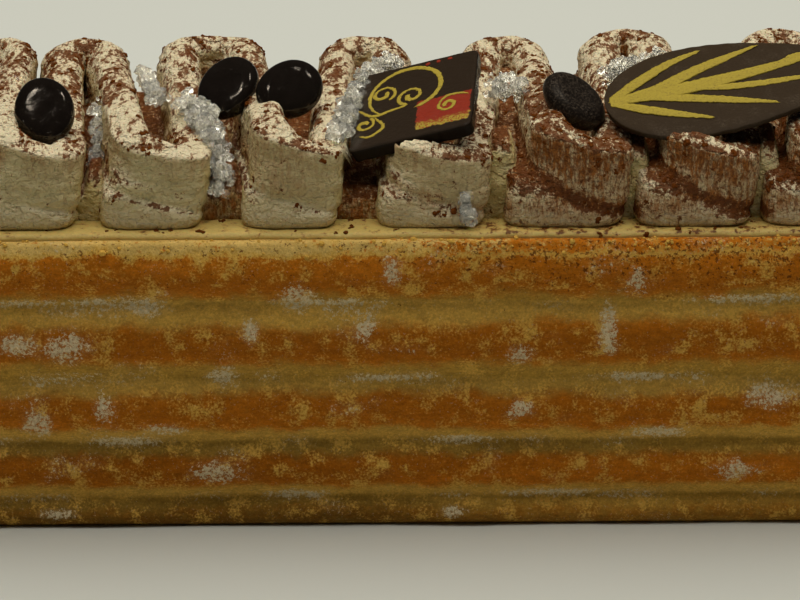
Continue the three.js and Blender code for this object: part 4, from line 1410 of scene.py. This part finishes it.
class TIRAMISU_OT_sponge(Step, Operator):
    """Ribbed ladyfinger sponge round the strip"""

    bl_idname = "tiramisu.sponge"
    bl_label = "Sponge"

    def execute(self, context):
        settings = context.scene.tiramisu
        finish = sponge_finish(settings.sponge, settings.cocoa)
        show("sponge", sponge_mesh(settings.sponge), finish, "sponge", "sponge_case")
        return {"FINISHED"}


class TIRAMISU_OT_bed(Step, Operator):
    """Bed of cream in the strip's top"""

    bl_idname = "tiramisu.bed"
    bl_label = "Cream bed"

    def execute(self, context):
        settings = context.scene.tiramisu
        show("bed", bed_mesh(), bed_finish(settings.cream, settings.cocoa), "bed_cream", "cream_bed")
        return {"FINISHED"}


class TIRAMISU_OT_ribbon(Step, Operator):
    """Ribbon of whipped cream piped to and fro"""

    bl_idname = "tiramisu.ribbon"
    bl_label = "Piped ribbon"

    def execute(self, context):
        settings = context.scene.tiramisu
        finish = cream_finish("whipped_cream", settings.cream, settings.cocoa)
        show("ribbon", ribbon_mesh(settings.cream), finish, "whipped_cream", "piped_ribbon")
        show("heap", heap_mesh(), finish, "whipped_cream", "piped_ribbon")
        return {"FINISHED"}


class TIRAMISU_OT_cocoa(Step, Operator):
    """Clumps of cocoa on the cream and crumbs along the sponge's rim"""

    bl_idname = "tiramisu.cocoa"
    bl_label = "Cocoa and crumbs"

    def execute(self, context):
        settings = context.scene.tiramisu
        random = np.random.default_rng(7)
        shares = {"ribbon": 0.8, "heap": 0.12, "bed": 0.12}
        hosts = [(bpy.data.objects[name].data, share) for name, share in shares.items()]
        flecks = cocoa_mesh(hosts, settings.cocoa, random)
        show("cocoa", flecks, powder_finish("cocoa", settings.cocoa.brown, 0.9), "whipped_cream")
        crumbs = crumb_mesh(bpy.data.objects["sponge"].data, settings.cocoa, random)
        show("crumbs", crumbs, powder_finish("crumbs", settings.sponge.gold, 0.95), "sponge")
        return {"FINISHED"}


class TIRAMISU_OT_drops(Step, Operator):
    """Chocolate drops"""

    bl_idname = "tiramisu.drops"
    bl_label = "Chocolate drops"

    def execute(self, context):
        finish = drop_finish(context.scene.tiramisu.toppings)
        for k, (name, place) in enumerate(DROPS.items()):
            mesh = drop_mesh(name, placement(*place), 80 + 3 * k)
            show(name.replace("chocolate_", ""), mesh, finish, "dark_chocolate", name)
        return {"FINISHED"}


class TIRAMISU_OT_plaque(Step, Operator):
    """Square plaque with gold scrolls"""

    bl_idname = "tiramisu.plaque"
    bl_label = "Square plaque"

    def execute(self, context):
        settings = context.scene.tiramisu.toppings
        matrix = placement(*PLAQUE)
        show("plaque", plaque_mesh(matrix), plaque_finish(settings), "printed_plaque", "square_plaque")
        gold = gold_finish("gold_print", settings.gold)
        show("plaque_scrolls", joined("scrolls", scroll_strokes(matrix)), gold, "printed_plaque")
        red = gold_finish("red_print", settings.red)
        show("plaque_dots", joined("dots", dot_strokes(matrix)), red, "printed_plaque")
        return {"FINISHED"}


class TIRAMISU_OT_leaf(Step, Operator):
    """Chocolate leaf with gold veins"""

    bl_idname = "tiramisu.leaf"
    bl_label = "Chocolate leaf"

    def execute(self, context):
        settings = context.scene.tiramisu.toppings
        matrix = placement(*LEAF)
        show("leaf", leaf_mesh(matrix), leaf_finish(settings), "leaf_chocolate", "chocolate_leaf")
        gold = gold_finish("gold_veins", settings.gold)
        show("leaf_veins", joined("veins", vein_strokes(matrix)), gold, "leaf_chocolate")
        return {"FINISHED"}


class TIRAMISU_OT_crystals(Step, Operator):
    """Clumps of clear sugar crystals"""

    bl_idname = "tiramisu.crystals"
    bl_label = "Sugar crystals"

    def execute(self, context):
        size = context.scene.tiramisu.toppings.crystal
        random = np.random.default_rng(11)
        finish = crystal_finish()
        for name, (reach, share, line) in CLUMPS.items():
            mesh = crystal_mesh(name, reach, share, line, size, random)
            show(name.replace("crystal_clump", "crystals"), mesh, finish, "sugar_crystal", name)
        return {"FINISHED"}


class TIRAMISU_PT_strip(Panel):
    """Makes the strip's pieces one by one"""

    bl_label = "Tiramisu strip"
    bl_space_type = "VIEW_3D"
    bl_region_type = "UI"
    bl_category = "Tiramisu"

    def draw(self, context):
        for operator in OPERATORS:
            self.layout.operator(operator.bl_idname)
        settings = context.scene.tiramisu
        for group in ("sponge", "cream", "cocoa", "toppings", "stage"):
            box = self.layout.box()
            box.label(text=group.capitalize())
            for key in getattr(settings, group).bl_rna.properties.keys():
                if key not in ("rna_type", "name"):
                    box.prop(getattr(settings, group), key)


OPERATORS = (
    TIRAMISU_OT_stage, TIRAMISU_OT_sponge, TIRAMISU_OT_bed, TIRAMISU_OT_ribbon, TIRAMISU_OT_cocoa,
    TIRAMISU_OT_drops, TIRAMISU_OT_plaque, TIRAMISU_OT_leaf, TIRAMISU_OT_crystals,
)
CLASSES = (
    SpongeSettings, CreamSettings, CocoaSettings, ToppingSettings, StageSettings, StripSettings,
    *OPERATORS, TIRAMISU_PT_strip,
)


def register():
    for item in CLASSES:
        bpy.utils.register_class(item)
    bpy.types.Scene.tiramisu = PointerProperty(type=StripSettings)


def unregister():
    del bpy.types.Scene.tiramisu
    for item in reversed(CLASSES):
        bpy.utils.unregister_class(item)


def main():
    register()
    for operator in OPERATORS:
        group, call = operator.bl_idname.split(".")
        getattr(getattr(bpy.ops, group), call)()


if __name__ == "__main__":
    main()
